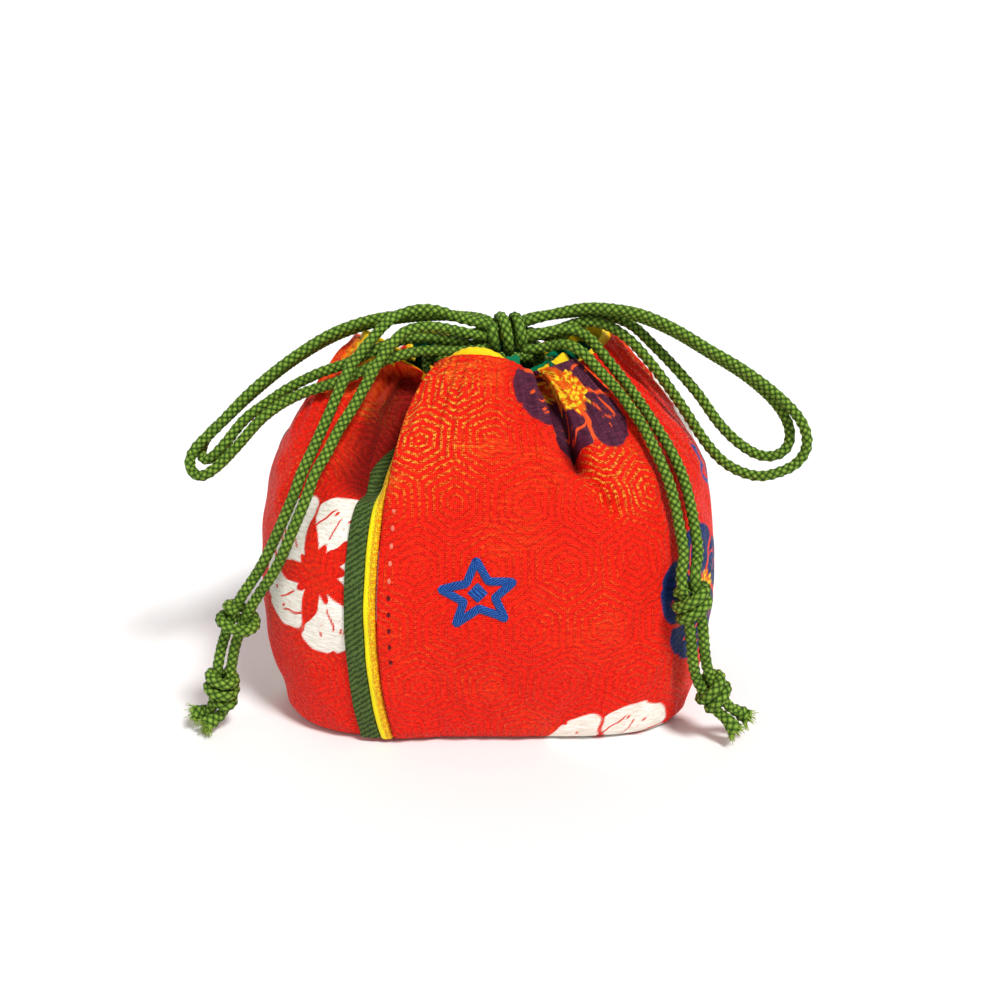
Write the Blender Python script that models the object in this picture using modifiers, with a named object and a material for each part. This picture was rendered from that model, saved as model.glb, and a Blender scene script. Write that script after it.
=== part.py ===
"""Kinchaku drawstring pouch: a small brocade bag with a square-cornered base, drawn shut by two cords.

The brocade is one strip of cloth wound once round the body, and its free edge laps over a yellow and a
green band at the front left. The mouth is drawn into six lobes with a deep crease between each two.
Two drawcords run round inside the mouth. They are tied over it in a bow of doubled cord, and each pair
of tails ends in two knots. Metres, +Z up, the front faces -Y, and the origin is the middle of the base
on the surface that the pouch stands on. Azimuth 0 is the front and 90 degrees is the right side.
"""

import math

import bmesh
import bpy
from mathutils import Vector

MM = 0.001

# Cloth thicknesses, and the clearance that touching layers keep
BROCADE = 0.9 * MM
FACING = 0.6 * MM
LINING = 0.6 * MM
GREEN_CLOTH = 0.7 * MM
YELLOW_CLOTH = 0.9 * MM
BASE_BOARD = 1.6 * MM
GAP = 0.3 * MM

# Body of the pouch, to the outside of the brocade, at the base, the belly and the shoulder
BASE_WIDTH = 88.0 * MM
BASE_DEPTH = 73.0 * MM
BELLY_WIDTH = 101.6 * MM
BELLY_DEPTH = 86.0 * MM
BELLY_HEIGHT = 29.0 * MM
SHOULDER_WIDTH = 97.0 * MM
SHOULDER_DEPTH = 80.0 * MM
SHOULDER_HEIGHT = 53.0 * MM
BASE_SQUARENESS = 4.4
BASE_FLARE = 0.85
BELLY_SQUARENESS = 3.0
SHOULDER_SQUARENESS = 2.4
HEM_TURN = 3.6 * MM
HEM_ROUND = 2.4 * MM

# Mouth: the oval that the creases are drawn in to, and the height of the cloth there
TIE_WIDTH = 40.0 * MM
TIE_DEPTH = 29.0 * MM
TIE_HEIGHT = 75.0 * MM
TIE_RUN = 8.0 * MM
LOBE_RUN = 5.5 * MM
LOBE_LEAN = 3.2 * MM
LOBE_ROUNDNESS = 0.8

# Each lobe: azimuth of the crease at its left end low on the body and at the rim, depth of that
# crease, and the radius and height of the middle of the rim
LOBES = (
    dict(name="front", low=-36.0, rim=-50.0, crease=6.0 * MM, radius=19.0 * MM, height=80.2 * MM),
    dict(name="front_right", low=26.0, rim=34.0, crease=3.5 * MM, radius=22.5 * MM, height=78.0 * MM),
    dict(name="right", low=72.0, rim=72.0, crease=5.0 * MM, radius=29.0 * MM, height=80.6 * MM),
    dict(name="back", low=140.0, rim=140.0, crease=5.5 * MM, radius=23.0 * MM, height=78.0 * MM),
    dict(name="back_left", low=200.0, rim=195.0, crease=5.5 * MM, radius=26.0 * MM, height=78.6 * MM),
    dict(name="left", low=258.0, rim=250.0, crease=5.0 * MM, radius=29.5 * MM, height=81.4 * MM),
)
COLUMN_SHARES = (0.0, 0.05, 0.13, 0.24, 0.36, 0.5, 0.64, 0.76, 0.87, 0.95)
WALL_LEVELS = (0.06, 0.14, 0.27, 0.42, 0.57, 0.72, 0.87, 1.0)
GATHER_LEVELS = (1.12, 1.24, 1.36, 1.48, 1.60, 1.70, 1.79, 1.87, 1.94, 2.0)

# Free edge of the brocade, as a share of the front lobe, and the bands that it laps over
SEAM_SHARE = 0.13
SEAM_STEP = 0.006
LAP_RAMP_SHARE = 0.22
LAP_TOP_LEVEL = 1.79
LAP_FADE = 0.4
YELLOW_WIDTH = 2.6 * MM
GREEN_WIDTH = 4.2 * MM
YELLOW_TOP_LEVEL = 1.94
GREEN_TOP_LEVEL = 1.36
YELLOW_NARROWS = 0.2
GREEN_NARROWS = 0.7
NARROWING_LEVELS = 0.45
LAP_RISE = GAP + YELLOW_CLOTH

# Facing inside the rim, and the lining below it
FACING_SHOWS = 1.2 * MM
FACING_LEVELS = (1.70, 1.79, 1.87, 1.94, 2.0)
LINING_LEVELS = (0.14, 0.27, 0.57, 0.87, 1.12, 1.24, 1.36, 1.48, 1.60)
LINING_EASE = 0.6 * MM
LINING_CORNER = 3.0 * MM
LINING_SHARES = (0.0, 0.13, 0.36, 0.64, 0.87)

# Cord: braided, doubled wherever it shows
CORD = 2.5 * MM
CORD_RESOLUTION = 2
POINT_SPACING = 2.6 * CORD
STRAND_PITCH = CORD + 2.2 * GAP
KNOT_CLEARANCE = 0.7 * MM
TUFT_SPREAD = 1.45

# Runs of the two drawcords round the inside of the mouth, one below the other
RUN_HEIGHT = 73.4 * MM
RUN_EASE = 0.4 * MM
RUN_STEP_DOWN = 4.0 * MM
RUN_STEPS = 24
RUN_OPENING = 13.0
KNOT_STEPS = 14
CURVE_STEPS = 12

# Knots: centre in millimetres, the way the cord runs through, length, radius and number of wraps
KNOTS = {
    "bow_knot": dict(centre=(3.7, -5.6, 82.0), along=(1.0, 0.0, 0.0), length=10.4 * MM, radius=5.0 * MM, wraps=3),
    "left_upper_knot": dict(centre=(-52.8, -31.5, 25.8), along=(-0.4, 0.0, -0.9), length=7.0 * MM,
                            radius=4.9 * MM, wraps=2),
    "left_lower_knot": dict(centre=(-57.2, -31.5, 10.6), along=(-0.2, 0.0, -1.0), length=9.6 * MM,
                            radius=4.1 * MM, wraps=3),
    "right_upper_knot": dict(centre=(41.9, -39.0, 33.4), along=(0.2, 0.0, -1.0), length=9.0 * MM,
                             radius=4.4 * MM, wraps=3),
    "right_lower_knot": dict(centre=(47.3, -37.0, 12.2), along=(0.5, 0.0, -0.87), length=8.0 * MM,
                             radius=4.3 * MM, wraps=2),
}

# Routes between knots in millimetres, chosen by hand, without the ends that sit at the knots
LEFT_LOOP_OUTER = (
    (-7.0, -5.6, 85.8), (-12.5, -6.0, 86.6), (-18.9, -7.0, 86.3), (-25.2, -8.0, 85.5), (-33.4, -10.0, 82.9),
    (-42.4, -12.0, 77.5), (-50.7, -14.0, 71.0), (-58.1, -15.5, 63.6), (-62.8, -16.5, 58.8),
    (-63.7, -17.0, 55.6), (-61.8, -17.5, 53.7), (-58.2, -18.0, 55.7), (-52.9, -18.0, 60.8),
    (-48.3, -17.0, 65.8), (-43.8, -15.6, 69.0), (-38.7, -15.0, 71.4), (-32.2, -16.7, 73.8),
    (-25.8, -16.9, 76.6), (-20.6, -15.3, 78.8), (-14.0, -11.8, 79.6), (-7.6, -9.8, 79.2),
)
LEFT_LOOP_INNER = (
    (-7.0, -2.6, 85.4), (-12.7, -2.9, 85.4), (-19.1, -3.7, 85.0), (-25.6, -4.7, 84.0), (-33.9, -6.7, 81.3),
    (-42.9, -8.8, 76.1), (-51.3, -11.0, 69.6), (-57.0, -12.6, 64.0), (-60.6, -13.2, 59.8),
    (-61.2, -14.2, 57.6), (-59.2, -15.0, 58.0), (-56.0, -15.6, 61.9), (-52.0, -15.2, 65.4),
    (-47.0, -13.2, 68.8), (-42.2, -12.6, 71.9), (-35.7, -13.8, 75.3), (-29.2, -15.6, 77.9),
    (-24.0, -14.0, 80.2), (-18.5, -10.4, 81.6), (-12.0, -7.4, 81.5), (-6.8, -6.0, 80.2),
)
LEFT_TAIL_A = (
    (-6.0, -9.2, 86.2), (-11.4, -10.6, 88.2), (-16.2, -11.8, 88.2), (-20.9, -13.8, 86.3), (-24.4, -16.6, 82.8),
    (-27.8, -19.2, 78.9), (-30.2, -22.0, 74.6), (-32.4, -24.8, 69.7), (-34.9, -27.4, 64.4),
    (-37.8, -31.5, 58.6), (-39.3, -32.5, 54.7), (-42.9, -33.0, 46.7), (-47.2, -32.5, 38.2),
)
LEFT_TAIL_B = (
    (-6.6, -11.2, 83.8), (-12.3, -13.6, 85.2), (-17.1, -15.4, 84.6), (-20.0, -17.4, 82.2), (-22.3, -19.6, 79.4),
    (-25.0, -22.4, 75.0), (-27.5, -24.9, 70.8), (-30.4, -28.0, 66.7), (-32.4, -30.9, 63.0),
    (-35.0, -33.6, 58.8), (-36.2, -34.7, 55.4), (-39.6, -35.5, 47.6), (-43.6, -34.5, 38.9),
)
RIGHT_LOOP_OUTER = (
    (13.2, -6.0, 86.2), (20.4, -6.5, 87.8), (26.0, -7.0, 87.8), (32.8, -7.5, 86.7), (40.1, -8.0, 83.6),
    (47.7, -9.0, 79.2), (55.1, -10.0, 75.0), (62.5, -11.0, 69.6), (67.7, -12.0, 64.2), (69.2, -12.8, 59.2),
    (67.3, -13.0, 55.1), (63.3, -13.0, 52.9), (59.1, -12.6, 51.9), (54.6, -11.4, 52.9), (50.7, -10.2, 55.3),
    (46.9, -8.8, 59.7), (43.4, -7.4, 64.9), (39.6, -6.2, 70.2), (35.2, -5.2, 75.8), (30.2, -4.6, 81.0),
    (24.6, -4.8, 84.2), (19.4, -5.2, 84.4), (14.2, -5.5, 82.6),
)
RIGHT_LOOP_INNER = (
    (13.3, -2.8, 85.6), (20.6, -3.2, 86.4), (26.2, -3.6, 86.6), (33.2, -4.2, 85.2), (40.6, -5.0, 82.1),
    (48.2, -6.0, 77.7), (55.7, -7.0, 73.2), (62.0, -8.2, 68.0), (65.4, -9.2, 63.2), (66.0, -9.8, 59.2),
    (64.8, -10.0, 56.8), (62.2, -9.9, 55.6), (58.8, -9.2, 56.0), (54.4, -8.2, 58.8), (50.4, -7.0, 62.8),
    (46.1, -5.5, 68.6), (41.0, -4.0, 74.2), (36.2, -2.4, 78.9), (31.0, -1.2, 83.4), (25.4, -1.4, 84.9),
    (20.3, -2.0, 83.2), (14.6, -2.6, 80.6),
)
RIGHT_TAIL_A = (
    (13.0, -9.4, 80.0), (16.6, -11.4, 81.0), (20.2, -13.9, 79.6), (23.6, -14.4, 75.9), (26.1, -16.0, 73.6),
    (28.3, -18.2, 71.3), (30.2, -20.7, 68.9), (32.0, -22.9, 66.7), (34.4, -26.8, 62.4), (36.7, -29.6, 57.7),
    (38.2, -31.4, 53.2), (39.5, -34.0, 47.0), (40.2, -36.4, 42.4),
)
RIGHT_TAIL_B = (
    (12.6, -8.8, 83.0), (16.6, -8.6, 83.8), (20.6, -8.6, 82.6), (23.8, -9.0, 79.4), (27.2, -10.6, 75.4),
    (29.9, -13.0, 72.3), (32.4, -16.6, 69.3), (35.0, -20.8, 65.9), (37.7, -24.2, 62.0), (40.0, -26.8, 57.7),
    (41.5, -28.8, 53.2), (42.8, -32.6, 46.6), (43.2, -35.6, 42.4),
)
LEFT_TUFT_A = ((-62.2, -30.4, 4.6), (-64.8, -30.0, 3.8))
LEFT_TUFT_B = ((-57.6, -33.0, 3.6), (-59.2, -34.8, 2.6))
RIGHT_TUFT_A = ((50.0, -38.2, 6.4), (51.8, -39.4, 3.6))
RIGHT_TUFT_B = ((53.0, -35.4, 7.4), (56.2, -34.6, 5.2))
LEFT_RUN_START = ((-8.0, -2.8, 80.2), (-13.0, -2.2, 76.4))
LEFT_RUN_END = ((-12.4, 1.8, 76.0), (-7.6, 0.0, 78.2))
RIGHT_RUN_START = ((11.2, 0.6, 78.0), (11.0, 2.4, 74.6), (11.8, 3.0, 70.8))
RIGHT_RUN_END = ((11.8, -2.4, 70.8), (11.2, -1.8, 74.6), (11.2, -3.6, 77.4))


def smooth(share):
    """Ease a share from 0 to 1 with level ends."""
    share = min(1.0, max(0.0, share))
    return share * share * (3 - 2 * share)


def blend(start, end, share):
    """Mix two numbers or two vectors."""
    return start + (end - start) * share


def ring_radius(azimuth, width, depth, squareness):
    """Radius of a rounded rectangle (a superellipse) at an azimuth in radians."""
    across = abs(math.sin(azimuth)) / (width / 2)
    along = abs(math.cos(azimuth)) / (depth / 2)
    return (across ** squareness + along ** squareness) ** (-1 / squareness)


def place(azimuth, radius, height):
    """World point at an azimuth in radians, 0 at the front and growing to the right."""
    return Vector((radius * math.sin(azimuth), -radius * math.cos(azimuth), height))


def split_lobe(position):
    """Lobe index and share for a position round the body, where each lobe is 1 long."""
    position %= len(LOBES)
    index = int(position)
    return index, position - index


def crease_azimuths(index):
    """Low and rim azimuth of the crease at the left end of a lobe, also past the last lobe."""
    turns, within = divmod(index, len(LOBES))
    lobe = LOBES[within]
    return lobe["low"] + 360 * turns, lobe["rim"] + 360 * turns


def azimuths(position):
    """Low and rim azimuth in radians of a position round the body."""
    index, share = split_lobe(position)
    low_start, rim_start = crease_azimuths(index)
    low_end, rim_end = crease_azimuths(index + 1)
    return math.radians(blend(low_start, low_end, share)), math.radians(blend(rim_start, rim_end, share))


def bulge_at(share):
    """How far a lobe stands out at a share of its length: 0 in its creases and 1 in its middle."""
    return math.sin(math.pi * share) ** LOBE_ROUNDNESS


def lap_rise(position, level):
    """Height of the lapped brocade over the panel below it, which dies out towards the rim."""
    index, share = split_lobe(position)
    if index != 0 or share < SEAM_SHARE:
        return 0.0
    fade = smooth((LAP_TOP_LEVEL - level) / LAP_FADE)
    return LAP_RISE * fade * (1 - smooth((share - SEAM_SHARE) / LAP_RAMP_SHARE))


def wall_point(position, level):
    """Point of the wall below the shoulder: level 0 is the base and 1 the shoulder."""
    azimuth, _ = azimuths(position)
    height = level * SHOULDER_HEIGHT
    if height < BELLY_HEIGHT:
        share = math.sin(math.pi / 2 * height / BELLY_HEIGHT) ** BASE_FLARE
        width = blend(BASE_WIDTH, BELLY_WIDTH, share)
        depth = blend(BASE_DEPTH, BELLY_DEPTH, share)
        squareness = blend(BASE_SQUARENESS, BELLY_SQUARENESS, share)
    else:
        share = ((height - BELLY_HEIGHT) / (SHOULDER_HEIGHT - BELLY_HEIGHT)) ** 2
        width = blend(BELLY_WIDTH, SHOULDER_WIDTH, share)
        depth = blend(BELLY_DEPTH, SHOULDER_DEPTH, share)
        squareness = blend(BELLY_SQUARENESS, SHOULDER_SQUARENESS, share)
    return azimuth, ring_radius(azimuth, width, depth, squareness), height


def rim_point(position):
    """Azimuth, radius and height of the brocade's rim."""
    index, share = split_lobe(position)
    _, azimuth = azimuths(position)
    tie_radius = ring_radius(azimuth, TIE_WIDTH, TIE_DEPTH, 2.0)
    bulge = bulge_at(share)
    lobe = LOBES[index]
    return azimuth, blend(tie_radius, lobe["radius"], bulge), blend(TIE_HEIGHT, lobe["height"], bulge)


def bezier(p0, p1, p2, p3, share):
    """Cubic curve through p0 and p3."""
    rest = 1 - share
    return p0 * rest ** 3 + p1 * 3 * rest ** 2 * share + p2 * 3 * rest * share ** 2 + p3 * share ** 3


def outside(position, level):
    """Point of the brocade's outer face without the lap: level 0 base, 1 shoulder, 2 rim."""
    if level <= 1:
        return place(*wall_point(position, level))
    share = level - 1
    index, along = split_lobe(position)
    bulge = bulge_at(along)
    low_azimuth, radius, height = wall_point(position, 1.0)
    rim_azimuth, rim_radius, rim_height = rim_point(position)
    rise = rim_height - height
    foot = Vector((radius, height))
    foot_pull = Vector((radius - 0.12 * rise, height + 0.42 * rise))
    rim = Vector((rim_radius, rim_height))
    lobe_pull = rim + Vector((LOBE_LEAN, -LOBE_RUN))
    tie_pull = rim + Vector((TIE_RUN, 0.0))
    reach = bezier(foot, foot_pull, blend(tie_pull, lobe_pull, bulge), rim, share)
    near = index if along < 0.5 else (index + 1) % len(LOBES)
    crease = LOBES[near]["crease"] * (1 - bulge) ** 1.4 * smooth(share * 1.6) * (1 - share ** 3)
    azimuth = blend(low_azimuth, rim_azimuth, smooth(share))
    return place(azimuth, reach.x - crease, reach.y)


def columns():
    """Positions round the body of the grid's columns, with the free edge's step as a close pair."""
    positions = [index + share for index in range(len(LOBES)) for share in COLUMN_SHARES]
    positions.append(SEAM_SHARE - SEAM_STEP)
    return sorted(positions)


def outer_normal(position, level):
    """Unit vector out of the cloth, from the unlapped surface around a point."""
    step = 0.02
    lower = max(0.02, level - step)
    upper = min(2.0, level + step)
    along = outside(position + step, level) - outside(position - step, level)
    up = outside(position, upper) - outside(position, lower)
    return along.cross(up).normalized()


def skin(position, level, offset):
    """Point at an offset from the unlapped outer face: outwards is positive."""
    return outside(position, level) + outer_normal(position, level) * offset


def mesh_from_grid(name, rows, closed, cap_bottom=False, cap_top=False):
    """Object with a quad surface through rows of points, round a closed loop or along a strip."""
    mesh = bpy.data.meshes.new(name)
    work = bmesh.new()
    grid = [[work.verts.new(point) for point in row] for row in rows]
    count = len(rows[0])
    for below, above in zip(grid, grid[1:]):
        for index in range(count if closed else count - 1):
            after = (index + 1) % count
            work.faces.new((below[index], below[after], above[after], above[index]))
    if cap_bottom:
        work.faces.new(tuple(reversed(grid[0])))
    if cap_top:
        work.faces.new(tuple(grid[-1]))
    work.to_mesh(mesh)
    work.free()
    return bpy.data.objects.new(name, mesh)


def thicken(piece, thickness, outwards=False):
    """Give an open surface its thickness, inwards unless told otherwise."""
    shell = piece.modifiers.new("thickness", "SOLIDIFY")
    shell.thickness = thickness
    shell.offset = 1.0 if outwards else -1.0
    return piece


def finish(piece, colour, roughness):
    """Link a piece to the pouch with its own cloth or cord material."""
    material = bpy.data.materials.new(piece.name)
    material.use_nodes = True
    shader = material.node_tree.nodes["Principled BSDF"]
    shader.inputs["Base Color"].default_value = (*colour, 1.0)
    shader.inputs["Roughness"].default_value = roughness
    shader.inputs["Metallic"].default_value = 0.0
    piece.data.materials.append(material)
    POUCH.objects.link(piece)
    if piece.type == "MESH":
        piece.data.shade_smooth()
    return piece


RED = (0.80, 0.045, 0.008)
GREEN = (0.12, 0.18, 0.05)
YELLOW = (0.95, 0.62, 0.01)
TEAL = (0.0, 0.30, 0.13)
CORD_GREEN = (0.13, 0.20, 0.025)


def brocade_rows():
    """Rows of the brocade's outer face, from the hem turned under at the base to the rim."""
    positions = columns()
    rows = []
    for inset, height in ((HEM_TURN, GAP), (HEM_ROUND / 2, GAP), (HEM_ROUND / 5, HEM_ROUND / 3)):
        row = []
        for position in positions:
            azimuth, radius, _ = wall_point(position, 0.0)
            row.append(place(azimuth, radius - inset + lap_rise(position, 0.0), height))
        rows.append(row)
    for level in WALL_LEVELS + GATHER_LEVELS:
        rows.append([skin(position, level, lap_rise(position, level)) for position in positions])
    return rows


def build_brocade():
    """The wrap of brocade, from its hem under the base to the lobes of the mouth."""
    piece = mesh_from_grid("brocade_body", brocade_rows(), closed=True)
    return finish(thicken(piece, BROCADE), RED, 0.6)


def inside_row(plain, level, picked, offset):
    """Points at an offset inside the unlapped outer face, along its own normals, at one level."""
    row = (WALL_LEVELS + GATHER_LEVELS).index(level)
    vertices = [plain.vertices[row * len(columns()) + column] for column in picked]
    return [vertex.co - vertex.normal * offset for vertex in vertices]


def plain_skin():
    """Mesh of the outer face without the lap, which the layers inside are measured from."""
    rows = [[outside(position, level) for position in columns()] for level in WALL_LEVELS + GATHER_LEVELS]
    return mesh_from_grid("plain_skin", rows, closed=True).data


def build_base():
    """Stiff base panel, set inside the hem that turns under it."""
    inset = HEM_TURN + GAP
    loop = []
    for position in columns():
        azimuth, radius, _ = wall_point(position, 0.0)
        loop.append(place(azimuth, radius - inset, 0.0))
    rows = [loop, [point + Vector((0, 0, BASE_BOARD)) for point in loop]]
    piece = mesh_from_grid("base_panel", rows, closed=True, cap_bottom=True, cap_top=True)
    return finish(piece, RED, 0.7)


def build_lining(plain):
    """Satin bag inside the brocade, open at the mouth."""
    offset = BROCADE + GAP + LINING_EASE
    positions = columns()
    shares = [round(split_lobe(position)[1], 4) for position in positions]
    picked = [index for index, share in enumerate(shares) if share in LINING_SHARES]
    floor = BASE_BOARD + GAP + LINING
    bottom = []
    for index in picked:
        azimuth, radius, _ = wall_point(positions[index], 0.0)
        bottom.append(place(azimuth, radius - HEM_TURN - LINING_CORNER, floor))
    rows = [bottom]
    for level in LINING_LEVELS:
        rows.append(inside_row(plain, level, picked, offset))
    piece = mesh_from_grid("lining", rows, closed=True, cap_bottom=True)
    return finish(thicken(piece, LINING), TEAL, 0.35)


def build_facing(plain):
    """Yellow facing inside the mouth, which shows as a narrow edge above the brocade's rim."""
    picked = range(len(columns()))
    rows = [inside_row(plain, level, picked, BROCADE + GAP) for level in FACING_LEVELS]
    edge = []
    for last, before in zip(rows[-1], rows[-2]):
        edge.append(last + (last - before).normalized() * FACING_SHOWS)
    rows.append(edge)
    piece = mesh_from_grid("mouth_facing", rows, closed=True)
    return finish(thicken(piece, FACING), YELLOW, 0.45)


def build_band(name, start, width, thickness, top_level, narrows, colour):
    """A band beside the free edge, at the distance start from it, that narrows by a share at its top."""
    rows = []
    for level in WALL_LEVELS + GATHER_LEVELS:
        if level > top_level:
            continue
        here = outside(SEAM_SHARE, level)
        pace = (outside(SEAM_SHARE - 0.02, level) - here).length / 0.02
        kept = 1 - narrows * smooth((level - top_level + NARROWING_LEVELS) / NARROWING_LEVELS)
        row = []
        for share in (1.0, 0.5, 0.0):
            position = SEAM_SHARE - SEAM_STEP - (start + width * kept * share) / pace
            row.append(skin(position, level, GAP))
        rows.append(row)
    piece = mesh_from_grid(name, rows, closed=False)
    return finish(thicken(piece, thickness, outwards=True), colour, 0.6)


def curve_through(points):
    """Dense points of a smooth curve through a route's own points."""
    dense = []
    padded = [points[0] * 2 - points[1], *points, points[-1] * 2 - points[-2]]
    for before, start, end, after in zip(padded, padded[1:], padded[2:], padded[3:]):
        for step in range(CURVE_STEPS):
            share = step / CURVE_STEPS
            pull = (end - before) * 0.5
            lean = (before * 2 - start * 5 + end * 4 - after) * 0.5
            twist = (start * 3 - before - end * 3 + after) * 0.5
            dense.append(start + pull * share + lean * share ** 2 + twist * share ** 3)
    dense.append(points[-1])
    return dense


def even_points(points, spacing):
    """Points at an even spacing along a smooth curve through a route."""
    dense = curve_through(points)
    reach = [0.0]
    for start, end in zip(dense, dense[1:]):
        reach.append(reach[-1] + (end - start).length)
    count = max(2, round(reach[-1] / spacing))
    picked = []
    segment = 0
    for index in range(count + 1):
        target = reach[-1] * index / count
        while segment < len(dense) - 2 and reach[segment + 1] < target:
            segment += 1
        share = (target - reach[segment]) / (reach[segment + 1] - reach[segment])
        picked.append(dense[segment].lerp(dense[segment + 1], share))
    return picked


def build_cord(name, points, end_spread=1.0):
    """Plain tube of cord along a route in metres, opened out at its far end by end_spread."""
    picked = even_points(points, POINT_SPACING)
    curve = bpy.data.curves.new(name, "CURVE")
    curve.dimensions = "3D"
    curve.bevel_depth = CORD / 2
    curve.bevel_resolution = CORD_RESOLUTION
    curve.use_fill_caps = True
    spline = curve.splines.new("POLY")
    spline.points.add(len(picked) - 1)
    for index, (point, place_on_spline) in enumerate(zip(picked, spline.points)):
        place_on_spline.co = (*point, 1.0)
        place_on_spline.radius = blend(1.0, end_spread, index / (len(picked) - 1))
    return finish(bpy.data.objects.new(name, curve), CORD_GREEN, 0.7)


def to_metres(route):
    """Route in metres from one in millimetres."""
    return [Vector(point) * MM for point in route]


def knot_place(name, end, sideways=0.0, upwards=0.0):
    """Where a strand meets a knot: end is -1 where the cord comes in and 1 where it goes out."""
    knot = KNOTS[name]
    along = Vector(knot["along"]).normalized()
    across = Vector((0.0, 1.0, 0.0))
    over = along.cross(across)
    reach = along * end * (knot["length"] / 2 + KNOT_CLEARANCE)
    return Vector(knot["centre"]) * MM + reach + (across * sideways + over * upwards) * STRAND_PITCH


def build_knot(name):
    """Knot of doubled cord: a turned form with one ridge for each wrap."""
    knot = KNOTS[name]
    steps = knot["wraps"] * 4
    mesh = bpy.data.meshes.new(name)
    work = bmesh.new()
    corners = []
    for index in range(steps + 1):
        share = index / steps
        height = knot["length"] * (0.5 - share)
        taper = (1 - abs(2 * share - 1) ** 3.2) ** 0.5
        ridge = abs(math.sin(math.pi * knot["wraps"] * share))
        radius = knot["radius"] * taper * (0.80 + 0.20 * ridge)
        corners.append(work.verts.new((radius, 0.0, height)))
    for upper, lower in zip(corners, corners[1:]):
        work.edges.new((upper, lower))
    work.to_mesh(mesh)
    work.free()
    piece = bpy.data.objects.new(name, mesh)
    turn = piece.modifiers.new("turn", "SCREW")
    turn.steps = KNOT_STEPS
    turn.render_steps = KNOT_STEPS
    turn.use_merge_vertices = True
    turn.merge_threshold = 0.01 * MM
    piece.location = Vector(knot["centre"]) * MM
    piece.rotation_mode = "QUATERNION"
    piece.rotation_quaternion = Vector(knot["along"]).to_track_quat("Z", "Y")
    return finish(piece, CORD_GREEN, 0.7)


def run_ring(azimuth_of_opening, drop):
    """Points of a drawcord's way round the inside of the mouth, from one side of its opening to the other."""
    cloth = BROCADE + GAP + FACING + GAP + CORD / 2 + RUN_EASE
    ring = []
    for step in range(RUN_STEPS + 1):
        turned = RUN_OPENING + (360.0 - 2 * RUN_OPENING) * step / RUN_STEPS
        azimuth = math.radians(azimuth_of_opening + turned)
        radius = ring_radius(azimuth, TIE_WIDTH - 2 * cloth, TIE_DEPTH - 2 * cloth, 2.0)
        ring.append(place(azimuth, radius, RUN_HEIGHT - drop))
    return ring


def bow_place(end, sideways, upwards):
    """One of the nine places on an end of the bow's knot."""
    return knot_place("bow_knot", end, sideways, upwards)


def build_bow():
    """Drawcord runs, and the two doubled loops of the bow."""
    left_run = [bow_place(-1, 1, 0), *to_metres(LEFT_RUN_START), *run_ring(-90.0, 0.0)]
    left_run += [*to_metres(LEFT_RUN_END), bow_place(-1, 1, -1)]
    build_cord("left_drawcord_run", left_run)
    right_run = [bow_place(1, 1, -1), *to_metres(RIGHT_RUN_START), *run_ring(90.0, RUN_STEP_DOWN)]
    right_run += [*to_metres(RIGHT_RUN_END), bow_place(1, 0, -1)]
    build_cord("right_drawcord_run", right_run)
    build_cord("left_loop_outer", [bow_place(-1, 0, 1), *to_metres(LEFT_LOOP_OUTER), bow_place(-1, -1, -1)])
    build_cord("left_loop_inner", [bow_place(-1, 1, 1), *to_metres(LEFT_LOOP_INNER), bow_place(-1, 0, -1)])
    build_cord("right_loop_outer", [bow_place(1, 0, 1), *to_metres(RIGHT_LOOP_OUTER), bow_place(1, 0, 0)])
    build_cord("right_loop_inner", [bow_place(1, 1, 1), *to_metres(RIGHT_LOOP_INNER), bow_place(1, 1, 0)])


def build_tail(side, letter, start, route, sideways, tuft):
    """One tail from the bow to the upper knot, its short stretch between the knots, and its frayed end."""
    upper = side + "_upper_knot"
    lower = side + "_lower_knot"
    build_cord(f"{side}_tail_{letter}", [start, *to_metres(route), knot_place(upper, -1, *sideways)])
    build_cord(f"{side}_short_strand_{letter}", [knot_place(upper, 1, *sideways), knot_place(lower, -1, *sideways)])
    build_cord(f"{side}_frayed_end_{letter}", [knot_place(lower, 1, *sideways), *to_metres(tuft)], TUFT_SPREAD)


def build_tails():
    """The four tails. A pair meets its knots side by side."""
    build_tail("left", "a", bow_place(-1, -1, 1), LEFT_TAIL_A, (0.0, -0.5), LEFT_TUFT_A)
    build_tail("left", "b", bow_place(-1, -1, 0), LEFT_TAIL_B, (0.0, 0.5), LEFT_TUFT_B)
    build_tail("right", "a", bow_place(1, -1, -1), RIGHT_TAIL_A, (0.0, -0.5), RIGHT_TUFT_A)
    build_tail("right", "b", bow_place(1, -1, 0), RIGHT_TAIL_B, (0.0, 0.5), RIGHT_TUFT_B)


def main():
    """Build every piece of the pouch."""
    build_brocade()
    build_base()
    plain = plain_skin()
    build_lining(plain)
    build_facing(plain)
    build_band("yellow_band", GAP, YELLOW_WIDTH, YELLOW_CLOTH, YELLOW_TOP_LEVEL, YELLOW_NARROWS, YELLOW)
    start = YELLOW_WIDTH + 2 * GAP
    build_band("green_band", start, GREEN_WIDTH, GREEN_CLOTH, GREEN_TOP_LEVEL, GREEN_NARROWS, GREEN)
    for name in KNOTS:
        build_knot(name)
    build_bow()
    build_tails()


for old in list(bpy.data.objects):
    bpy.data.objects.remove(old, do_unlink=True)
POUCH = bpy.data.collections.new("kinchaku_drawstring_pouch")
bpy.context.scene.collection.children.link(POUCH)
main()
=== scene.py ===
"""Looks of the kinchaku drawstring pouch: dense cloth, braided cords, knots, stitches and finishes.

The cloth follows the part's own formulas. A position runs round the body, with each lobe of the mouth 1
long, and a level runs up it: 0 is the base, 1 the shoulder and 2 the rim. Metres, +Z up, the front faces
-Y, and azimuth 0 is the front with 90 degrees at the right side.
"""

import logging
import math
from dataclasses import dataclass, field
from enum import Enum

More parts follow.
